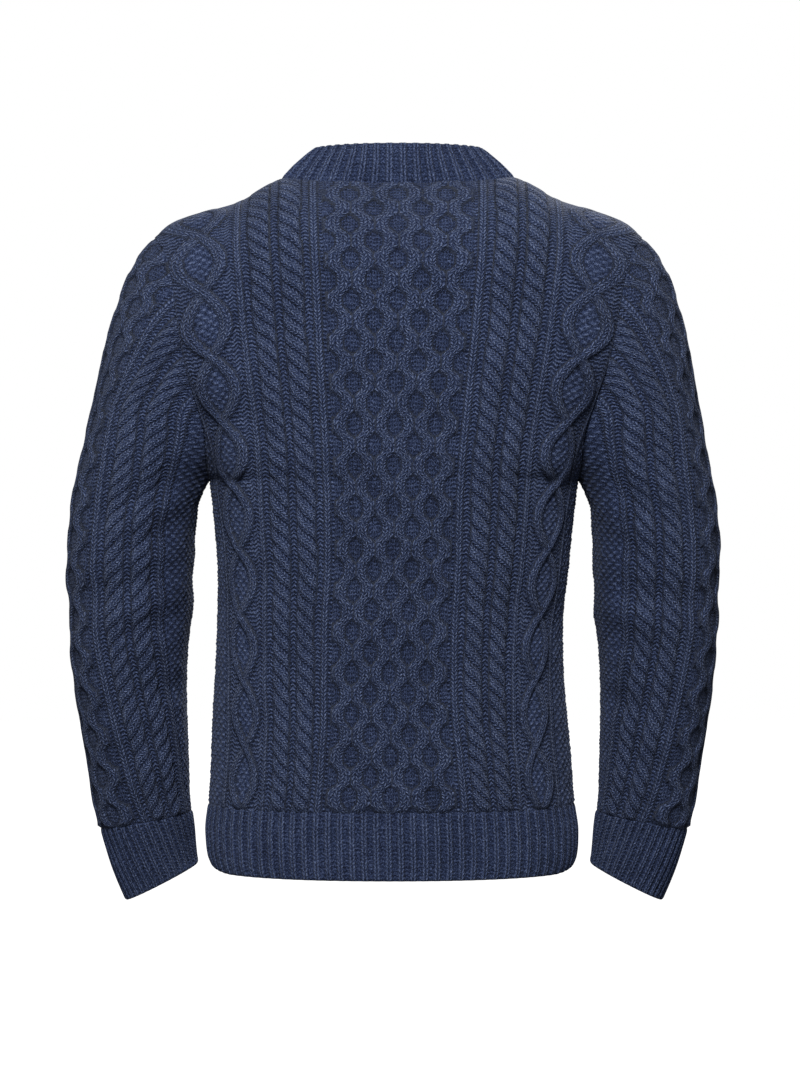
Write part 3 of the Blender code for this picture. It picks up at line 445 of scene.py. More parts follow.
class Sleeve:
    """The left sleeve as a map from (u, v): v from the cuff up, u round from the middle, plus to the back."""

    ROUND = 144

    def __init__(self):
        edges = {f: PANELS[f].point(*armhole_uv(PANELS[f]).T) for f in PANELS}
        for e in edges.values():
            e[0, 1] = e[-1, 1] = 0.0
        back, front = edges["back"], edges["front"]
        tip, low = (back[0] + front[0]) / 2, (back[-1] + front[-1]) / 2
        loop = np.concatenate([[tip], back[1:-1], [low], front[1:-1][::-1], [tip]])
        s = along(loop)
        low_at = len(back) - 1
        # the underarm is half the way round in stitches
        under = s[low_at]
        part = np.where(s <= under, s / under / 2, 0.5 + (s - under) / (s[-1] - under) / 2)
        clear = self.clear_of(loop[:-1], low_at)
        loop = loop + np.concatenate([clear, clear[:1]]) * (GAP + 0.3)
        f = np.arange(self.ROUND) / self.ROUND
        top, cap = sample(f, part, loop), ring(CAP_RING, f)
        # the cap's outer line, drawn on to meet the first ring
        outer_z = np.linspace(TIP_Z, float(cap[0][2]), 60)
        line = np.stack([smooth(SLEEVE_OUT, "x", outer_z), 0 * outer_z, outer_z], 1)
        line = line + (cap[0] - line[-1]) * np.linspace(0, 1, 60)[:, None] ** 2
        long = along(line)
        weight = (0.5 + 0.5 * np.cos(2 * math.pi * f))[:, None]
        low = np.minimum(f, 1 - f)
        push = (step(0.22, 0.4, low) * (1 - 0.8 * step(0.41, 0.49, low)))[:, None] * [5.0, 0, 0]
        rings = []
        for t in np.linspace(0, 1, 31):
            straight = top * (1 - t) + cap * t
            bulge = sample([t * long[-1]], long, line) - straight[0]
            rings.append(straight + bulge * weight + push * math.sin(math.pi * t) ** 0.6)
        rings += [ring(z, f) for z in np.linspace(CAP_RING, CUFF_SEAM, 50)[1:]]
        grid = np.array(rings)[::-1]  # from the cuff up
        for _ in range(3):
            grid[1:-1] = (grid[:-2] + 2 * grid[1:-1] + grid[2:]) / 4
        steps = np.linalg.norm(np.diff(grid, axis=0), axis=2)
        self.grid = grid
        self.long = np.concatenate([0 * steps[:1], np.cumsum(steps, axis=0)])

    @staticmethod
    def clear_of(loop, low_at):
        """Which way the sleeve stands off the panels: on along them at the shoulder, out in the armpit."""
        out = np.zeros_like(loop)
        way = unit(onward(loop))
        for i in range(len(loop)):
            panel = PANELS["back" if i <= low_at else "front"]
            k = i if i <= low_at else len(loop) - i
            u, v = armhole_uv(panel)[k]
            n = panel.normal([u], [v])[0]
            on = unit(np.cross(way[i], n))
            inward = panel.point([u - 2.5], [v - 2])[0] - loop[i]
            on = -on if on @ inward > 0 else on
            down = float(step(-200, -287, loop[i][2]))
            out[i] = unit(on * (1 - down) + n * down)
            if k == 0:
                out[i] = [0.9, 0, -0.45]
            if k == low_at:
                out[i] = [1, 0, 0]
        return unit(out)

    def count(self, v):
        """Stitches round the sleeve."""
        return np.interp(v, STITCHES["v"], STITCHES["n"])

    def knots(self, v):
        """Wales and the parts of the way round where they lie."""
        parts = [smooth(WALES, name, v, "v") for name in ("first", "second")]
        return (0, 14, 28.5, self.count(v) / 2), (0, *parts, 0.5)

    def part(self, u, v):
        """How far round a wale lies, as a part of the whole."""
        wales, parts = self.knots(v)
        return np.sign(u) * bent(np.abs(u), wales, parts)

    def wale(self, part, v):
        wales, parts = self.knots(v)
        return np.sign(part) * bent(np.abs(part), parts, wales)

    def end(self, part):
        """Length of the wale that ends at this part of the way round."""
        ends = np.append(self.long[-1], self.long[-1, 0])
        return np.interp(np.asarray(part) % 1.0, np.arange(len(ends)) / self.ROUND, ends)

    def point(self, u, v):
        u, v = np.array([u, v], float)
        g = self.part(u, v) % 1.0 * self.ROUND
        i = np.minimum(g.astype(int), self.ROUND - 1)
        f = (g - i)[:, None]
        out = np.zeros((len(u), 3))
        for k in np.unique(i):
            m = i == k
            a, b = (sample(v[m], self.long[:, c], self.grid[:, c]) for c in (k, (k + 1) % self.ROUND))
            out[m] = a * (1 - f[m]) + b * f[m]
        return out

    def normal(self, u, v):
        u, v = np.array([u, v], float)
        du, dv = 0.6, 3
        a = self.point(u + du, v) - self.point(u - du, v)
        top = self.end(self.part(u, v))
        b = self.point(u, np.minimum(v + dv, top)) - self.point(u, np.clip(v - dv, 0, top - dv))
        return unit(np.cross(a, b))


SLEEVE = Sleeve()


def neck_uv(panel, x):
    """(u, v) of the neckline at x."""
    z = value(NECK, panel.face, x, "x")
    u = panel.u_at(x, z)
    return u, panel.v_at(u, z)


def neck_samples(n):
    """x along half the neckline, from the neck point to the middle."""
    return NECK_X * np.sin(np.linspace(math.pi / 2, 0, n))


def collar_lean(x, panel):
    """The way out of the collar at its seam."""
    part = x / NECK_X
    return unit([part * 0.75, panel.sign * math.sqrt(max(1 - part ** 2, 0)), 0.45])


def neck_loop():
    """The neckline's points and ways into the wall, closed, from the left round by the back."""
    out = []
    for face, panel in PANELS.items():
        half = []
        for x in neck_samples(11):
            at_point = x >= NECK_X - 1e-6
            u, v = (NECK_U, panel.end(NECK_U)) if at_point else neck_uv(panel, x)
            p, n = panel.point([u], [v])[0], panel.normal([u], [v])[0]
            way = -unit(n + collar_lean(abs(p[0]), panel))
            if at_point:
                p[1], way = 0, unit([-0.5, 0, -1.0])
            half.append((p, way))
        full = half + [(p * [-1, 1, 1], way * [-1, 1, 1]) for p, way in half[::-1][1:]]
        out += full[:-1] if face == "back" else full[::-1][:-1]
    return (np.array(column) for column in zip(*out))


COLLAR = table("""
part   up    in
0      0     0
0.35   0.40  0.22
0.75   0.80  0.66
1      1     1
""")
COLLAR_X, COLLAR_BACK, COLLAR_FRONT = 77, 40, 58  # half the top opening, its reach each way
COLLAR_Z, COLLAR_DROP, COLLAR_MID = 27.5, 70, 3.0  # its height, the front's drop, its middle's y


def collar_top(loop):
    """The collar's upper edge, a point for each one of the neckline."""
    out = []
    for x, y, _ in loop:
        a = math.atan2((y - COLLAR_MID) / 60, x / NECK_X)
        back, front = max(math.sin(a), 0), max(-math.sin(a), 0)
        reach = COLLAR_BACK * back if a > 0 else -COLLAR_FRONT * front
        out.append([COLLAR_X * math.copysign(abs(math.cos(a)) ** 0.95, math.cos(a)),
                    COLLAR_MID + 2 + reach,
                    COLLAR_Z - COLLAR_DROP * front ** 1.7 + 0.5 * back])
    return np.array(out)


def hem_row(face, z, at):
    """Points along the hem band at height z, from the -X side seam to the +X one, and the way out."""
    t = np.linspace(-math.pi / 2, math.pi / 2, 721)
    e = 2 / 2.2  # a little squarer than an ellipse
    x = np.sign(np.sin(t)) * np.abs(np.sin(t)) ** e * value(SIDE, "x", z)
    y = np.abs(np.cos(t)) ** e * value(BODY, face, z)
    long = running(np.hypot(np.diff(x), np.diff(y)))
    x, y = (np.interp(at * long[-1], long, line) for line in (x, y))
    sign = PANELS[face].sign
    p = np.stack([x, sign * np.maximum(y, GAP / 2), np.full(len(at), z)], 1)
    d = np.gradient(p, axis=0)
    out = unit(np.stack([d[:, 1], -d[:, 0], 0 * d[:, 0]], 1)) * -sign
    out[0], out[-1] = [-1, 0, 0], [1, 0, 0]
    return p, out


def arm_axis(z):
    """Up the arm, square to the ring at this height."""
    tilt = math.radians(value(RINGS, "tilt", z))
    return np.array([math.sin(tilt), 0, math.cos(tilt)])


# --- the stitches
# Where each pattern lies, in stitches from the middle.
HONEY_U, MOSS_SLEEVE, MOSS_BODY = 12.4, 29.6, 43.4
TWINS = (14.0, 28.5, 42.5)
ROPES = (18.4, 24.2)
FURROWS = (12.9, 15.6, 21.35, 27.2, 30.0, 41.2)  # middles of the purl channels
CHAIN_U, CHAIN_V, HONEY_V = 35.75, -2.5, 14.0
SWING, STRAND = 4.0, 1.4  # of a chain's strand: its swing and half its width
HONEY_FLOOR = 0.5  # the kind of stitch at the bottom of a honeycomb cell


def dome(d, half):
    return np.sqrt(np.clip(1 - (d / half) ** 2, 0, 1))


def bell(d, half):
    return np.exp(-(d / half) ** 2)


class Stitches:
    """Height of the knit over the ground, and each point's wale, row and kind of stitch."""

    def __init__(self, u, v, sleeve):
        side, x = np.where(u < 0, -1.0, 1.0), np.abs(u)
        self.h = np.zeros(len(u))
        # how strongly painted shade fills each pattern's creases, most between the ropes
        self.crease = np.where((x > 16) & (x < 26.7), 1.35, np.where(x < 13, 0.8, 0.9))
        self.knit, self.moss = np.zeros(len(u)), np.zeros(len(u))
        off = np.abs(x[:, None] - np.array(FURROWS)).min(1)
        arch = np.abs((off - 1.15 + 0.5) % 1.0 - 0.5)
        self.wale = u.copy()
        self.row = v / ROW + np.where(off < 1.15, 0.85 * off, 0.98 - 0.7 * arch)
        self.honeycomb(u, v)
        lean = side if sleeve else np.ones_like(side)
        for mid in ROPES:
            sway = 0.1 * np.sin(v / 15 + mid)
            slip = 1.1 * np.sin(v / 24 + 2 * mid) + 0.7 * np.sin(v / 9.7 + mid + u)
            self.rope((x - mid + sway) * side, v + slip, lean)
        for mid in TWINS[:2] if sleeve else TWINS:
            d = x - mid
            self.take(d, 0.72, 2.1 * dome(d, 0.74) - 0.5 * bell(d, 0.16), d * 0.72 + 0.5, v / ROW)
        if sleeve:
            self.seeds(x > MOSS_SLEEVE, SLEEVE.part(u, v) * STITCHES["n"].max(), v)
        else:
            self.chain(x - CHAIN_U, u, v)
            self.seeds(x > MOSS_BODY, u, v)
        loose = 0.35 * np.sin(u * 1.9 + v / 5.3) * np.sin(v / 8.1 - u * 0.7)
        seed = np.cos(math.pi * self.wale) * np.cos(math.pi * self.row)
        self.h += self.moss * (0.8 + loose + 0.75 * seed)

    def seeds(self, where, u, v):
        self.moss = np.where(where, 1.0, self.moss)
        self.wale, self.row = np.where(where, u, self.wale), np.where(where, v / ROW, self.row)

    def take(self, d, half, h, wale, row):
        """Where this strand lies on top of what is there, its height and stitches count."""
        on = (np.abs(d) < half) & (h >= self.h)
        self.h = np.where(on, h, self.h)
        self.wale, self.row = np.where(on, wale, self.wale), np.where(on, row, self.row)
        self.knit, self.moss = np.where(on, 1.0, self.knit), np.where(on, 0.0, self.moss)

    def rope(self, x, v, lean):
        """A two-strand twist: leaf after leaf, each right across the rope."""
        turn = v / ROPE_P - lean * (x / 4.3 + 0.022 * x ** 3)
        t = turn - np.floor(turn) - 0.5
        edge = np.clip(1 - (np.abs(x) / 2.12) ** 3.0, 0, 1) ** 0.6
        thick = 0.53 - 0.17 * (np.abs(x) / 2.1) ** 2
        h = 0.1 + edge * (0.2 + 3.9 * dome(t, thick) ** 0.8)
        self.take(x, 2.1, h, 2 * turn, (0.67 * lean * x * WIDE + 0.74 * v) / ROW)

    def strand(self, on, x, centre, slope, v, top):
        """A cable strand two wales wide, its rows square to the way it runs."""
        d = np.where(on, x - centre, 9.0)
        m = slope * WIDE
        h = 0.5 + top * dome(d, STRAND * 1.02) ** 0.9 - 0.35 * bell(d, 0.2)
        self.take(d, STRAND, h, d / STRAND, (v + m * d * WIDE / (1 + m * m)) / ROW)

    def honeycomb(self, u, v):
        inside = np.abs(u) < HONEY_U
        x = u - 8 * np.round(u / 8)
        w = 2 * math.pi / HONEY_P
        wave = np.cos(w * (v - HONEY_V))
        swing = 0.95 * (wave * (1.5 - 0.5 * wave * wave))
        slope = 0.95 * (-w * np.sin(w * (v - HONEY_V)) * (1.5 - 1.5 * wave * wave))
        v = v + 0.9 * np.sin(u * 0.8 + v / 29) + 0.5 * np.sin(v / 11 - u * 0.5)
        self.h = np.where(inside, 0.55 * np.clip((HONEY_U - np.abs(u)) / 0.5, 0, 1), self.h)
        self.knit = np.where(inside, HONEY_FLOOR, self.knit)
        self.wale, self.row = np.where(inside, u, self.wale), np.where(inside, v / ROW, self.row)
        for s in (-1, 1):
            self.strand(inside, x, s * (2 + swing), s * slope, v, 3.3)
            # the same strand seen from the next cell over
            self.strand(inside, x, s * (6 - swing), -s * slope, v, 3.3)

    def chain(self, x, u, v):
        t = (v - CHAIN_V) / CHAIN_P
        s = SWING * np.sin(math.pi * t)
        slope = SWING * math.pi / CHAIN_P * np.cos(math.pi * t)
        near = np.clip(1 - np.abs(t - np.round(t)) * 5.5, 0, 1)
        up = np.where(np.round(t) % 2 == 0, 1.0, -1.0)
        self.seeds(np.abs(x) < np.abs(s), u, v)
        for way in (-1, 1):
            top = 3.2 + near * way * up * 0.9  # which strand passes over at a crossing
            self.strand(np.abs(x) < 6, x, way * s, way * slope, v, top)

    def traits(self, shape):
        """What each vertex tells the wool; deep is how far it lies below the relief around it, which the wool
        paints as shade in creases and as light on ridges.
        """
        h = low = self.h.reshape(shape)
        for _ in range(10):  # five times each way, by turns
            wide = np.pad(low, ((1, 1), (0, 0)), "edge")
            low = ((wide[:-2] + 2 * low + wide[2:]) / 4).T
        # painted shade in the creases of the relief, painted light on its ridges
        deep = np.clip((low - h).ravel() / 0.8, -1, 1.4) * self.crease
        # painted shade on the floors of the honeycomb cells
        deep += 0.35 * (self.knit == HONEY_FLOOR)
        return {"wale": self.wale, "row": self.row, "knit": self.knit, "moss": self.moss,
                "deep": deep, "rib": 0 * self.wale}


# Soft creases: middle (u, v), which way the crease runs in degrees from the
# wale towards plus u, half its length and width in mm, and depth, minus inwards.
FOLDS = {
    "back": table("""
u    v    turn  long  wide  deep
-44  330  35    70    13    -0.9
44   322  -38   76    14    -1.7
-40  368  50    60    12    -0.9
41   362  -46   54    12    -1.4
-30  70   78    90    16    -1.5
28   84   -74   84    17    -1.7
-12  470  82    110   20    -1.3
18   450  -80   90    19    -1.2
-36  180  64    66    17    -1.6
37   206  -60   60    16    -1.4
"""),
    "front": table("""
u    v    turn  long  wide  deep
-44  326  37    74    13    -2.8
45   334  -34   68    14    -2.5
-38  372  52    56    12    -1.8
42   366  -48   60    12    -2.1
-24  78   76    96    17    -1.7
32   66   -78   80    16    -1.4
-10  430  84    90    21    -1.2
36   190  -62   64    16    -1.5
-37  214  58    62    17    -1.5
"""),
    "sleeve_left": table("""
u    v    turn  long  wide  deep
24   318  62    70    13    -3.2
27   276  70    62    12    -2.8
22   232  80    76    13    -3.4
26   190  76    60    12    -2.6
-26  300  -64   66    13    -2.8
-24  226  -80   70    13    -3.0
30   128  84    50    11    -2.2
8    210  84    70    18    -1.6
18   72   72    52    13    -1.8
-20  96   -76   56    13    -2.0
"""),
    "sleeve_right": table("""
u    v    turn  long  wide  deep
25   310  66    66    13    -3.0
28   262  72    64    12    -2.9
21   222  82    80    14    -3.3
27   176  78    58    12    -2.4
-25  292  -66   64    13    -2.7
-23  214  -78   72    13    -3.1
29   116  82    52    11    -2.3
6    240  86    66    18    -1.5
19   64   70    50    13    -1.9
-21  88   -74   54    13    -1.9
"""),
}


def folded(name, u, v):
    """How far the creases move each point along its normal."""
    out = np.zeros(len(u))
    for mid_u, mid_v, turn, long, wide, deep in zip(*FOLDS[name].values()):
        c, s = math.cos(math.radians(turn)), math.sin(math.radians(turn))
        dx, dy = (u - mid_u) * WIDE, v - mid_v
        on, off = dx * s + dy * c, dx * c - dy * s
        off = off + 0.0011 * on ** 2  # a crease bends a little
        end = np.clip(1 - (on / long) ** 2, 0, 1) ** 1.5
        lips = bell(np.abs(off) - 1.9 * wide, 0.9 * wide)
        out += deep * end * (bell(off, wide) - 0.42 * lips)
    return out


# How far the worn cloth hangs to one side of the solids, by height: the
# shoulders one way, the body's waist the other, and the cuffs outwards.
HANG = table("""
z     body  sleeve  cuff
-720  1.0   0       3.2
-640  1.6   0       3.2
-600  2.4   0       2.6
-560  2.6   0       0.6
-477  4.4   0.6     0
-420  3.6   0.8     0
-363  0.6   0.4     0
-282  0     0       0
-240  -1.0  -1.0    0
-163  -2.6  -2.6    0
-78   -4.2  -4.2    0
60    -3.4  -3.4    0
""")
SAG_X, SAG_WIDE, SAG_LEFT, SAG_RIGHT = 150, 48, 3.4, 1.2  # how far each shoulder drops, and where
HEM_NARROW = 0.012  # by how much of its width the hem draws in


def hung(points, piece, side=0):
    """The points moved by HANG and the shoulders' sag; side is 1 on the left arm and -1 on the right."""
    x, z = points[..., 0], points[..., 2]
    move = smooth(HANG, piece, z) + side * smooth(HANG, "cuff", z)
    drop = SAG_LEFT * bell(x - SAG_X, SAG_WIDE) + SAG_RIGHT * bell(x + SAG_X, SAG_WIDE)
    narrow = HEM_NARROW * step(-520, -600, z) * x if piece == "body" else 0 * x
    return points + np.stack([move - narrow, 0 * x, -step(-130, -20, z) * drop], -1)


# --- the grids
CELL = (1 / 3, 1.95)  # of a fine grid: stitches wide, mm high


def clearance(line, points):
    """Distance to a line of points, and the nearest point of it."""
    best, near = np.full(len(points), 1e9), np.zeros_like(points)
    for a, b in zip(line[:-1], line[1:]):
        d = b - a
        t = np.clip(((points - a) @ d) / max(d @ d, 1e-12), 0, 1)
        p = a + t[:, None] * d
        r = np.linalg.norm(points - p, axis=1)
        m = r < best
        best[m], near[m] = r[m], p[m]
    return best, near


def inside(outline, points):
    x, y = points.T
    hit = np.zeros(len(points), bool)
    for (x0, y0), (x1, y1) in zip(outline, np.roll(outline, -1, 0)):
        if y0 != y1:
            hit ^= ((y0 > y) != (y1 > y)) & (x < x0 + (y - y0) * (x1 - x0) / (y1 - y0))
    return hit


def quads(index):
    """Faces between the neighbours in a grid of point numbers."""
    corners = [index[:-1, :-1], index[:-1, 1:], index[1:, 1:], index[1:, :-1]]
    return np.stack(corners, -1).reshape(-1, 4)


def fitted_grid(outline):
    """A fine grid whose edge is drawn onto the outline: (u, v), faces, distance to it, shape."""
    us, vs = (np.arange(math.floor(low / size) - 1, math.ceil(high / size) + 2) * size
              for low, high, size in zip(outline.min(0), outline.max(0), CELL))
    uu, vv = np.meshgrid(us, vs)
    points = np.stack([uu.ravel() * WIDE, vv.ravel()], 1)
    line = outline * FLAT
    far, near = clearance(np.concatenate([line, line[:1]]), points)
    within = inside(line, points)
    reach = math.hypot(CELL[0] * WIDE, CELL[1]) * 0.52
    snap = far < np.where(within, 0.3, 1.0) * reach
    points[snap] = near[snap]
    faces = quads(np.arange(len(points)).reshape(uu.shape))
    good = (within | snap)[faces]
    full = faces[good.all(1) & ~snap[faces].all(1)]
    three = good.sum(1) == 3
    part = faces[three][good[three]].reshape(-1, 3)
    part = part[~snap[part].all(1)]
    return points / FLAT, [full, part], np.where(snap, 0.0, far), uu.shape


# --- the wool
def maths(operation, *values):
    """A math node of these values, in their node tree."""
    tree = next(v.tree for v in values if isinstance(v, Shade))
    node = tree.nodes.new("ShaderNodeMath")
    node.operation = operation
    for socket, v in zip(node.inputs, values):
        if isinstance(v, Shade):
            tree.links.new(v.socket, socket)
        else:
            socket.default_value = v
    return Shade(tree, node.outputs[0])


class Shade:
    """A value in a node tree; a sum or product of it is a math node."""

    def __init__(self, tree, socket):
        self.tree, self.socket = tree, socket

    __add__ = __radd__ = lambda self, other: maths("ADD", self, other)
    __mul__ = __rmul__ = lambda self, other: maths("MULTIPLY", self, other)
    __sub__ = lambda self, other: maths("SUBTRACT", self, other)
    __rsub__ = lambda self, other: maths("SUBTRACT", other, self)


def mix(part, a, b):
    return a * (1.0 - part) + b * part


# Tone of the wool, from the painted shade in the gaps between stitches to the palest fibres.
TONES = (
    (0.05, (0.002, 0.004, 0.014)),
    (0.30, (0.009, 0.016, 0.046)),
    (0.52, (0.034, 0.053, 0.129)),
    (0.76, (0.090, 0.124, 0.242)),
    (1.00, (0.205, 0.260, 0.430)),
)
FINISH = {
    "Roughness": 0.92,
    "Specular IOR Level": 0.25,
    "Sheen Weight": 0.12,
    "Sheen Roughness": 0.5,
    "Sheen Tint": (0.62, 0.70, 0.88, 1),
}
BUMP = 0.0017  # how far a stitch stands, in metres


def wool(name):
    """Heathered navy wool: stitches as bump, fibres as flecks of colour, with painted shade between the
    stitches and in the creases.
    """
    mat = bpy.data.materials.new(name)
    mat.use_nodes = True
    tree = mat.node_tree
    nodes, links = tree.nodes, tree.links
    shader = nodes["Principled BSDF"]
    coords = nodes.new("ShaderNodeTexCoord").outputs["Object"]

    def attribute(key):
        node = nodes.new("ShaderNodeAttribute")
        node.attribute_name = key
        return Shade(tree, node.outputs["Fac"])

    def noise(scale, detail, rough=0.6):
        node = nodes.new("ShaderNodeTexNoise")
        for key, setting in (("Scale", scale), ("Detail", detail), ("Roughness", rough)):
            node.inputs[key].default_value = setting
        links.new(coords, node.inputs["Vector"])
        return Shade(tree, node.outputs["Fac"])

    wale, row = attribute("wale"), attribute("row")
    knit, moss, deep, rib = (attribute(key) for key in ("knit", "moss", "deep", "rib"))

    # unevenness in where each stitch lies and how it leans
    row = row + (noise(230.0, 2.0) - 0.5) * 0.9
    lean = (noise(310.0, 1.0) - 0.5) * 0.5
    # a knit stitch: two legs that meet in a vee
    leg = maths("ABSOLUTE", maths("FRACT", wale + lean * 0.35) - 0.5) * 2.0
    body = 1.0 - maths("POWER", maths("ABSOLUTE", leg * 2.0 - 1.0), 2.4)
    curl = maths("COSINE", (row - leg * 1.05) * (2 * math.pi))
    vee = body * mix(rib, 0.6 + curl * 0.46, 0.70 + curl * 0.22)
    # the ground: purl bars, or moss, whose stitches alternate
    wave = maths("COSINE", row * (2 * math.pi))
    purl = mix(rib, 0.47 + wave * 0.42, 0.38 + wave * 0.16)
    check = maths("COSINE", (wale + lean) * math.pi) * maths("COSINE", row * math.pi)
    seed = 0.5 + check * 0.34
    height = mix(knit, mix(moss, purl, seed * 0.7 + purl * 0.3), vee)

    fibre, hair = noise(900.0, 3.0, 0.7), noise(2600.0, 2.0, 0.6)
    bump = nodes.new("ShaderNodeBump")
    bump.inputs["Strength"].default_value = 1.0
    bump.inputs["Distance"].default_value = BUMP
    tall = height * 0.8 + (fibre * 0.22 + hair * 0.10)
    links.new(tall.socket, bump.inputs["Height"])
    links.new(bump.outputs["Normal"], shader.inputs["Normal"])

    # colour: painted shade between the stitches from their height, and in creases and armpits from deep,
    # painted light on ridges, flecked by the blend of fibres
    spread = (fibre - 0.5) * 2.2 + (hair - 0.5) * 0.9 + (noise(34.0, 2.0) - 0.5) * 0.22
    speck = maths("MAXIMUM", noise(1300.0, 1.0) - 0.80, 0.0) * 6.0
    tone = 0.24 + height * 0.5 + spread - deep * 0.13 + speck
    ramp = nodes.new("ShaderNodeValToRGB")
    links.new(tone.socket, ramp.inputs["Fac"])
    stops = ramp.color_ramp.elements
    stops[0].position, stops[1].position = TONES[0][0], TONES[-1][0]
    for at, _ in TONES[1:-1]:
        stops.new(at)
    for stop, (_, colour) in zip(stops, TONES):
        stop.color = (*colour, 1)
    links.new(ramp.outputs["Color"], shader.inputs["Base Color"])
    for key, setting in FINISH.items():
        shader.inputs[key].default_value = setting
    return mat


WOOL = wool("navy_wool")


# --- the pieces
def placed(name, data):
    obj = bpy.data.objects.new(name, data)
    bpy.context.scene.collection.objects.link(obj)
    return obj


def make(kind, node, points, faces, flip, traits, flat):
    """The mesh with its stitches' traits and a map for baking, hung on the root in place of its solid."""
    name = kind + "_" + node
    used = np.zeros(len(points), bool)
    for f in faces:
        used[f.ravel()] = True
    index = np.cumsum(used) - 1
    sizes = np.concatenate([np.full(len(f), f.shape[1]) for f in faces])
    corners = np.concatenate([index[f[:, ::-1] if flip else f].ravel() for f in faces])
    mesh = bpy.data.meshes.new(name)
    mesh.vertices.add(used.sum())
    mesh.vertices.foreach_set("co", (points[used] / 1000).astype(np.float32).ravel())
    mesh.loops.add(len(corners))
    mesh.loops.foreach_set("vertex_index", corners.astype(np.int32))
    mesh.polygons.add(len(sizes))
    mesh.polygons.foreach_set("loop_start", running(sizes)[:-1].astype(np.int32))
    mesh.polygons.foreach_set("loop_total", sizes.astype(np.int32))
    mesh.update(calc_edges=True)
    mesh.validate()
    mesh.shade_smooth()
    for key, values in traits.items():
        layer = mesh.attributes.new(key, "FLOAT", "POINT")
        layer.data.foreach_set("value", values[used].astype(np.float32))
    # the map for baking fills the square but for a margin of 0.01
    flat = flat[used]
    flat = (flat - flat.min(0)) / np.ptp(flat, axis=0).max() * 0.98 + 0.01
    at = np.zeros(len(mesh.loops), np.int32)
    mesh.loops.foreach_get("vertex_index", at)
    layer = mesh.uv_layers.new(name="OFBake")
    layer.data.foreach_set("uv", flat[at].astype(np.float32).ravel())
    obj = placed(name, mesh)
    mesh.materials.append(WOOL)
    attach(obj, "root")
    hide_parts(node)


def clean(points, faces):
    """Leave out faces that the drawn-in edge has flattened."""
    out = []
    for f in faces:
        p = points[f]
        n = np.cross(p[:, 2] - p[:, 0], p[:, -1] - p[:, 1])
        out.append(f[np.linalg.norm(n, axis=1) > 0.02])
    return out


# the middle of the painted armpit shade on the panels, in mm
ARMPIT_SHADE_X, ARMPIT_SHADE_Z = 176, -268  # where the panels are darkest


def panel(face):
    p = PANELS[face]
    half = [(u, 0.0) for u in np.linspace(0, SIDE_U, 60)]
    half += [(SIDE_U, p.v_at(SIDE_U, z)) for z in np.linspace(BODY_Z, ARM_Z, 60)[1:-1]]
    half += [tuple(row) for row in armhole_uv(p)[::-1]]
    tip_u = half[-1][0]
    half += [(u, p.end(u)) for u in np.linspace(tip_u, NECK_U, 60)[1:]]
    half += [neck_uv(p, x) for x in neck_samples(50)[1:]]
    flat, faces, far, shape = fitted_grid(np.array(half + [(-u, v) for u, v in half[::-1][1:-1]]))
    u, v = np.clip(flat[:, 0], -SIDE_U, SIDE_U), np.maximum(flat[:, 1], 0)
    base, n = p.point(u, v), p.normal(u, v)
    blank = np.linalg.norm(n, axis=1) < 0.5  # at the very tip of a wale
    n[blank] = p.normal(u[blank], v[blank] - 4)
    s = Stitches(u, v, False)
    # the relief sinks towards the shoulder's seam
    seam = np.array([row for row in half if 20 < row[0] <= tip_u and row[1] > 480]) * FLAT
    below = clearance(seam, np.abs(flat) * FLAT)[0]
    fade = step(0, 4.0, far) * (0.2 + 0.8 * step(4, 60, below))
    rise = s.h * fade + 0.1 + folded(face, u, v) * step(2, 30, far)
    points = hung(base + n * rise[:, None], "body")
    faces = clean(points, faces)
    traits = s.traits(shape)
    # painted shade in the armpit
    traits["deep"] += 1.3 * bell(np.abs(points[:, 0]) - ARMPIT_SHADE_X, 16) * bell(points[:, 2] - ARMPIT_SHADE_Z, 45)
    flat = np.stack([u * WIDE, v], 1)
    make("knit", face, points, faces, p.sign > 0, traits, flat)


def sleeve(side):
    ends = [(part, SLEEVE.end(part)) for part in np.linspace(-0.5, 0.5, 300)]
    top = [(float(SLEEVE.wale(part, v)), float(v)) for part, v in ends]
    under = np.linspace(0, float(SLEEVE.end(0.5)), 80)[1:-1]
    edge = [(float(SLEEVE.count(v)) / 2, v) for v in under]
    low = float(SLEEVE.count(0)) / 2
    cuff_edge = [(u, 0.0) for u in np.linspace(-low, low, 50)]
    other = [(-u, v) for u, v in edge[::-1]]
    flat, faces, _, shape = fitted_grid(np.array(cuff_edge + edge + top[::-1] + other))
    u, v = flat[:, 0], np.maximum(flat[:, 1], 0)
    wide = SLEEVE.count(v) / 2
    u = np.clip(u, -wide, wide)
    base, n = SLEEVE.point(u, v), SLEEVE.normal(u, v)
    cap = clearance(np.array(top) * FLAT, flat * FLAT)[0]
    far, seam = np.minimum(cap, v), wide - np.abs(u)
    s = Stitches(u, v, True)
    # flatter over the top of the cap, and towards the seam under the arm
    fade = step(0, 4.0, far) * (1 - 0.6 * (1 - step(0, 45, cap)) * (np.abs(u) < 16))
    crease = folded("sleeve_" + side, u, v) * step(2, 40, far) * step(0, 4, seam)
    points = base + n * (s.h * fade * (0.35 + 0.65 * step(0, 2.5, seam)) + crease)[:, None]
    # the last stitches run in under the body's edge
    on = unit(base - SLEEVE.point(u, np.maximum(v - 2, 0)))
    points += (cap < 0.3)[:, None] * (on * 1.1 - n * 0.7)
    faces = clean(points, faces)
    way = 1 if side == "left" else -1
    points = hung(points * [way, 1, 1], "sleeve", way)
    traits = s.traits(shape)
    # painted shade on the inner side, up to the armpit
    traits["deep"] += 1.2 * step(0.28, 0.47, np.abs(SLEEVE.part(u, v))) * step(-600, -330, base[:, 2])
    flat = np.stack([u * WIDE, v], 1)
    make("knit", "sleeve_" + side, points, faces, way < 0, traits, flat)


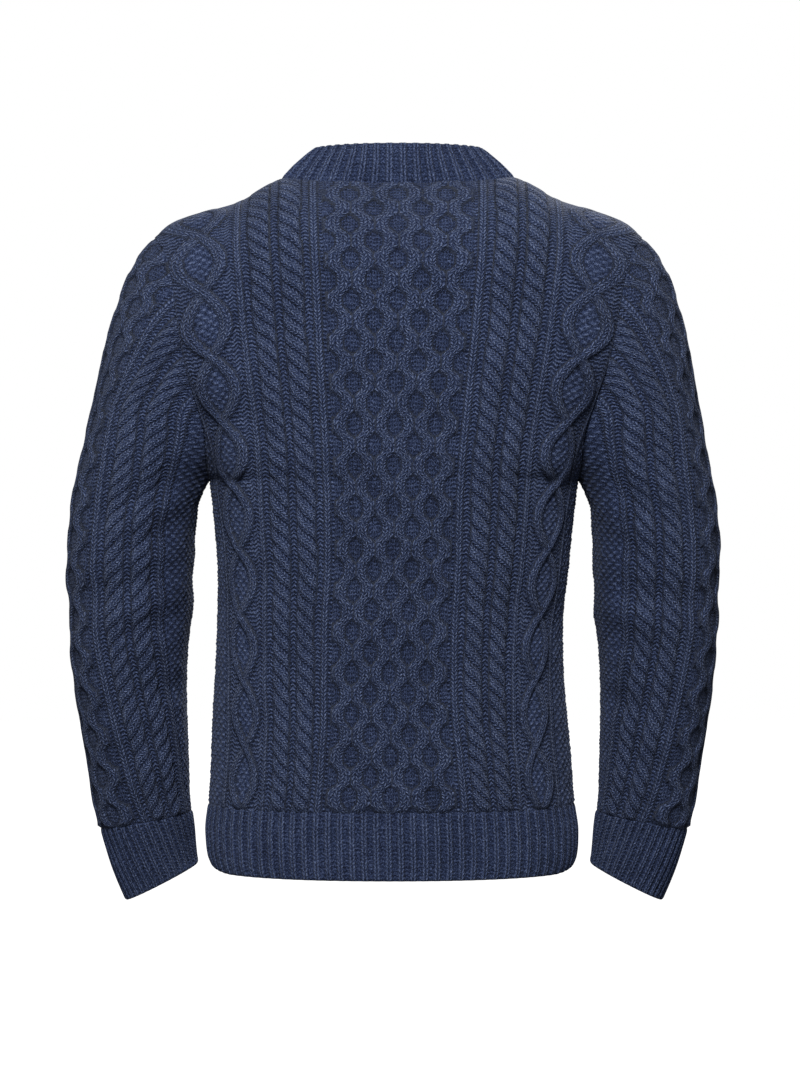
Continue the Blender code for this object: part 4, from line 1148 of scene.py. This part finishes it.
def ribbed(node, rows, ribs, height, wall, long, closed=True, flip=False):
    """A band of knit wales and purl furrows by turns, with both skins and round edges.

    rows, bottom to top: points, way out, how much of the rib stands, v. height and
    wall are in mm; long, the band's length, in metres.
    """
    cols = len(rows[0][0])
    rib = np.arange(cols) / (cols if closed else cols - 1) * ribs
    period = long * 1000 / ribs
    off = (rib - 0.25 + 0.5) % 1.0 - 0.5  # from the knit wale's middle
    x = np.abs(off) * period
    half, leg = min(3.2, period * 0.33), min(1.7, period * 0.18)
    ridge = np.where(x < half, dome(x, half) ** 0.8, 0) * (1 - 0.35 * bell(x, 0.6))
    chevron = 0.5 * (period / 2 - x) / (period / 2 - half * 0.8)
    outer, inner = [], []
    for base, out, amount, _ in rows:
        outer.append(base + out * ((ridge * height - 0.15) * amount)[:, None])
        inner.append(base - out * (wall + (1 - ridge) * 0.25 * height * amount)[:, None])
    count = 2 * len(rows)
    index = np.arange(count * cols).reshape(count, cols)
    if closed:
        index = np.concatenate([index, index[:, :1]], 1)
    faces = [quads(np.concatenate([index, index[:1]], 0))]
    up = [v for *_, v in rows]
    v = np.repeat(up + up[::-1], cols)
    behind = np.repeat(np.arange(count) >= len(rows), cols)
    knit = np.tile(np.clip((half - x) / 0.5, 0, 1), count)
    # painted shade in the purl furrows and at the foot of each rib, a little painted light on the ribs' tops
    deep = np.where(x < half, -0.15 * ridge, 0.35) + 0.6 * bell(x - half, 0.7)
    traits = {
        "wale": np.tile(0.5 + off * period / (4 * leg), count),
        "row": v / ROW + np.where(knit > 0.5, 0, np.tile(chevron, count)),
        "knit": np.where(behind, 1 - knit, knit),
        "moss": 0 * v,
        "rib": 0 * v + 1,
        "deep": np.tile(deep, count),
    }
    # in the map the inner skin lies 6 mm below the outer one
    flat = np.stack([np.tile(rib * period, count), np.where(behind, -v - 6, v)], 1)
    points = np.array(outer + inner[::-1]).reshape(-1, 3)
    make("rib", node, points, faces, flip, traits, flat)


def heights(low, high, count, last):
    """From a band's loose edge to its seam, close together at both."""
    first = [low, low + 0.5, low + 1.6]
    return np.concatenate([first, np.linspace(low + 3.2, high - 3, count), [high - 1.2, last]])


def rounded(z, low, high):
    """How much of the rib stands at a height of a band, and how far the loose edge is drawn in."""
    end = min(z - low, high - z)
    amount = 1.0 if end > 2.5 else 0.55 + 0.45 * end / 2.5
    return amount, 0.9 * max(0, 1 - (z - low) / 1.6) ** 2


def tucked(row, up):
    """The last row again, pushed 1 mm in and 1.2 mm up inside the seam."""
    p, out, _, v = row
    return p - out + up * 1.2, out, 0.3, v + 1.2


HEM_LIFT, HEM_CORNER_X, LIFT_HIGH = 4.5, 176, 45  # the hem's corners lift, up to there
CUFF_DROP = 4.5  # how much longer the worn cuffs are


def hem(face):
    at = np.linspace(0, 1, HEM_RIBS * HEM_COLS + 1)
    rows = []
    for z in heights(HEM_Z, BODY_Z, 26, BODY_Z - GAP / 2):
        p, out = hem_row(face, z, at)
        amount, inset = rounded(z, HEM_Z, BODY_Z)
        corner = np.clip((np.abs(p[:, 0]) / HEM_CORNER_X - 0.86) / 0.14, 0, 1) ** 2
        p[:, 2] += HEM_LIFT * corner * max(0, 1 - (z - HEM_Z) / LIFT_HIGH) ** 1.5
        rows.append((hung(p - out * inset, "body"), out, amount, z - HEM_Z))
    rows.append(tucked(rows[-1], np.array([0, 0, 1])))
    long = np.linalg.norm(np.diff(rows[10][0], axis=0), axis=1).sum() / 1000
    ribbed("hem_" + face, rows, HEM_RIBS, 1.6, 1.4, long,
           closed=False, flip=face == "back")


def cuff(side):
    cols = CUFF_RIBS * CUFF_COLS
    way = 1 if side == "left" else -1
    axis = arm_axis(CUFF_SEAM)
    low = CUFF_END - CUFF_DROP
    rows = []
    for z in heights(low, CUFF_SEAM, 27, CUFF_SEAM):
        p = ring(z, np.arange(cols) / cols)
        if z == CUFF_SEAM:
            p = p - axis * GAP / 2
        out = facing(np.cross(onward(p), arm_axis(z)), p - p.mean(0))
        amount, inset = rounded(z, low, CUFF_SEAM)
        p, out = p * [way, 1, 1], out * [way, 1, 1]
        rows.append((hung(p - out * inset, "sleeve", way), out, amount, z - low))
    rows.append(tucked(rows[-1], axis * [way, 1, 1]))
    ribbed("cuff_" + side, rows, CUFF_RIBS, 1.8, 1.4, girth(rows[10][0]),
           flip=side == "right")


COLLAR_TALL, COLLAR_WAIST = 42.0, 0.045  # height in mm; how much narrower half way up


def collar():
    neck, rim = neck_loop()
    top = collar_top(neck)
    away = facing(np.cross(onward(neck), rim), top - neck)
    neck = neck + away * (GAP + 0.15)
    s = running(np.linalg.norm(np.roll(neck, -1, 0) - neck, axis=1))
    cols = COLLAR_RIBS * COLLAR_COLS
    want = np.arange(cols) / cols * s[-1]

    def spread(points):
        """A point for each column of the ribs, smoothed round the neck."""
        out = sample(want, s, np.concatenate([points, points[:1]]))
        for _ in range(12):
            out = (np.roll(out, 1, 0) + 2 * out + np.roll(out, -1, 0)) / 4
        return out

    low, high, seam_out = spread(neck), spread(top), -unit(spread(rim))
    rows = [(hung(low - spread(away) * 1.5 - seam_out, "body"), seam_out, 0.3, -1.2)]
    for part in np.concatenate([[0, 0.03], np.linspace(0.07, 0.93, 24), [0.965, 0.99, 1.0]]):
        p = low.copy()
        p[:, 2] += (high[:, 2] - low[:, 2]) * value(COLLAR, "up", part, "part")
        p[:, :2] += (high[:, :2] - low[:, :2]) * value(COLLAR, "in", part, "part")
        out = facing(np.cross(onward(p), high - low), (p - p.mean(0)) * [1, 1, 0])
        near = float(step(0, 0.35, part))
        out = unit(seam_out * (1 - near) + out * near)
        amount = (0.45 + 0.55 * min(part / 0.06, 1)) * (1 - 0.3 * max(0, part - 0.93) / 0.07)
        inset = 0.8 * max(0, (part - 0.95) / 0.05) ** 2
        p[:, 0] *= 1 - COLLAR_WAIST * math.sin(math.pi * part)
        rows.append((hung(p - out * inset, "body"), out, amount, part * COLLAR_TALL))
    ribbed("collar", rows, COLLAR_RIBS, 2.0, 1.5, girth((low + high) / 2))


for name in ("back", "front"):
    panel(name)
for name in ("left", "right"):
    sleeve(name)
    cuff(name)
for name in ("back", "front"):
    hem(name)
collar()

# --- the studio, in metres
CAMERA, SENSOR, LENS = (-0.0057, 3.0, -0.338), 36.0, 106.5
FLOOR_HALF, FLOOR_Z = 14.0, -1.35
AIM = Vector((0, 0, -0.35))
WHITE = (1, 1, 1, 1)

scene = bpy.context.scene
camera = placed("camera", bpy.data.cameras.new("camera"))
camera.location = CAMERA
camera.rotation_euler = (math.pi / 2, 0, math.pi)
camera.data.sensor_width, camera.data.lens = SENSOR, LENS
scene.camera = camera
scene.view_settings.view_transform = "Standard"

floor_mesh = bpy.data.meshes.new("floor")
floor_corners = [(x * FLOOR_HALF, y * FLOOR_HALF, 0) for x, y in ((-1, -1), (1, -1), (1, 1), (-1, 1))]
floor_mesh.from_pydata(floor_corners, [], [(0, 1, 2, 3)])
floor = placed("floor", floor_mesh)
floor.location = (0, 0, FLOOR_Z)
pale = bpy.data.materials.new("pale_floor")
pale.use_nodes = True
plain = pale.node_tree.nodes["Principled BSDF"]
plain.inputs["Base Color"].default_value = (0.9, 0.9, 0.9, 1)
plain.inputs["Emission Color"].default_value = WHITE
plain.inputs["Emission Strength"].default_value = 1.0
floor_mesh.materials.append(pale)
floor.visible_diffuse = floor.visible_glossy = False

# a soft sky of modest strength, seen as plain white behind the garment
world = bpy.data.worlds.new("studio")
scene.world = world
world.use_nodes = True
tree = world.node_tree
background = tree.nodes["Background"].inputs
background["Color"].default_value = WHITE
path, sky = tree.nodes.new("ShaderNodeLightPath"), tree.nodes.new("ShaderNodeMapRange")
tree.links.new(path.outputs["Is Camera Ray"], sky.inputs["Value"])
sky.inputs["To Min"].default_value, sky.inputs["To Max"].default_value = 0.15, 1.0
tree.links.new(sky.outputs["Result"], background["Strength"])


def softbox(name, place, size, watts):
    light = bpy.data.lights.new(name, "AREA")
    light.shape, light.size, light.energy = "DISK", size, watts
    obj = placed(name, light)
    obj.location = place
    obj.rotation_euler = (AIM - Vector(place)).to_track_quat("-Z", "Y").to_euler()


softbox("key", (0.3, 2.6, 1.5), 1.2, 83)
softbox("other", (-0.7, -2.4, 1.5), 1.3, 79)
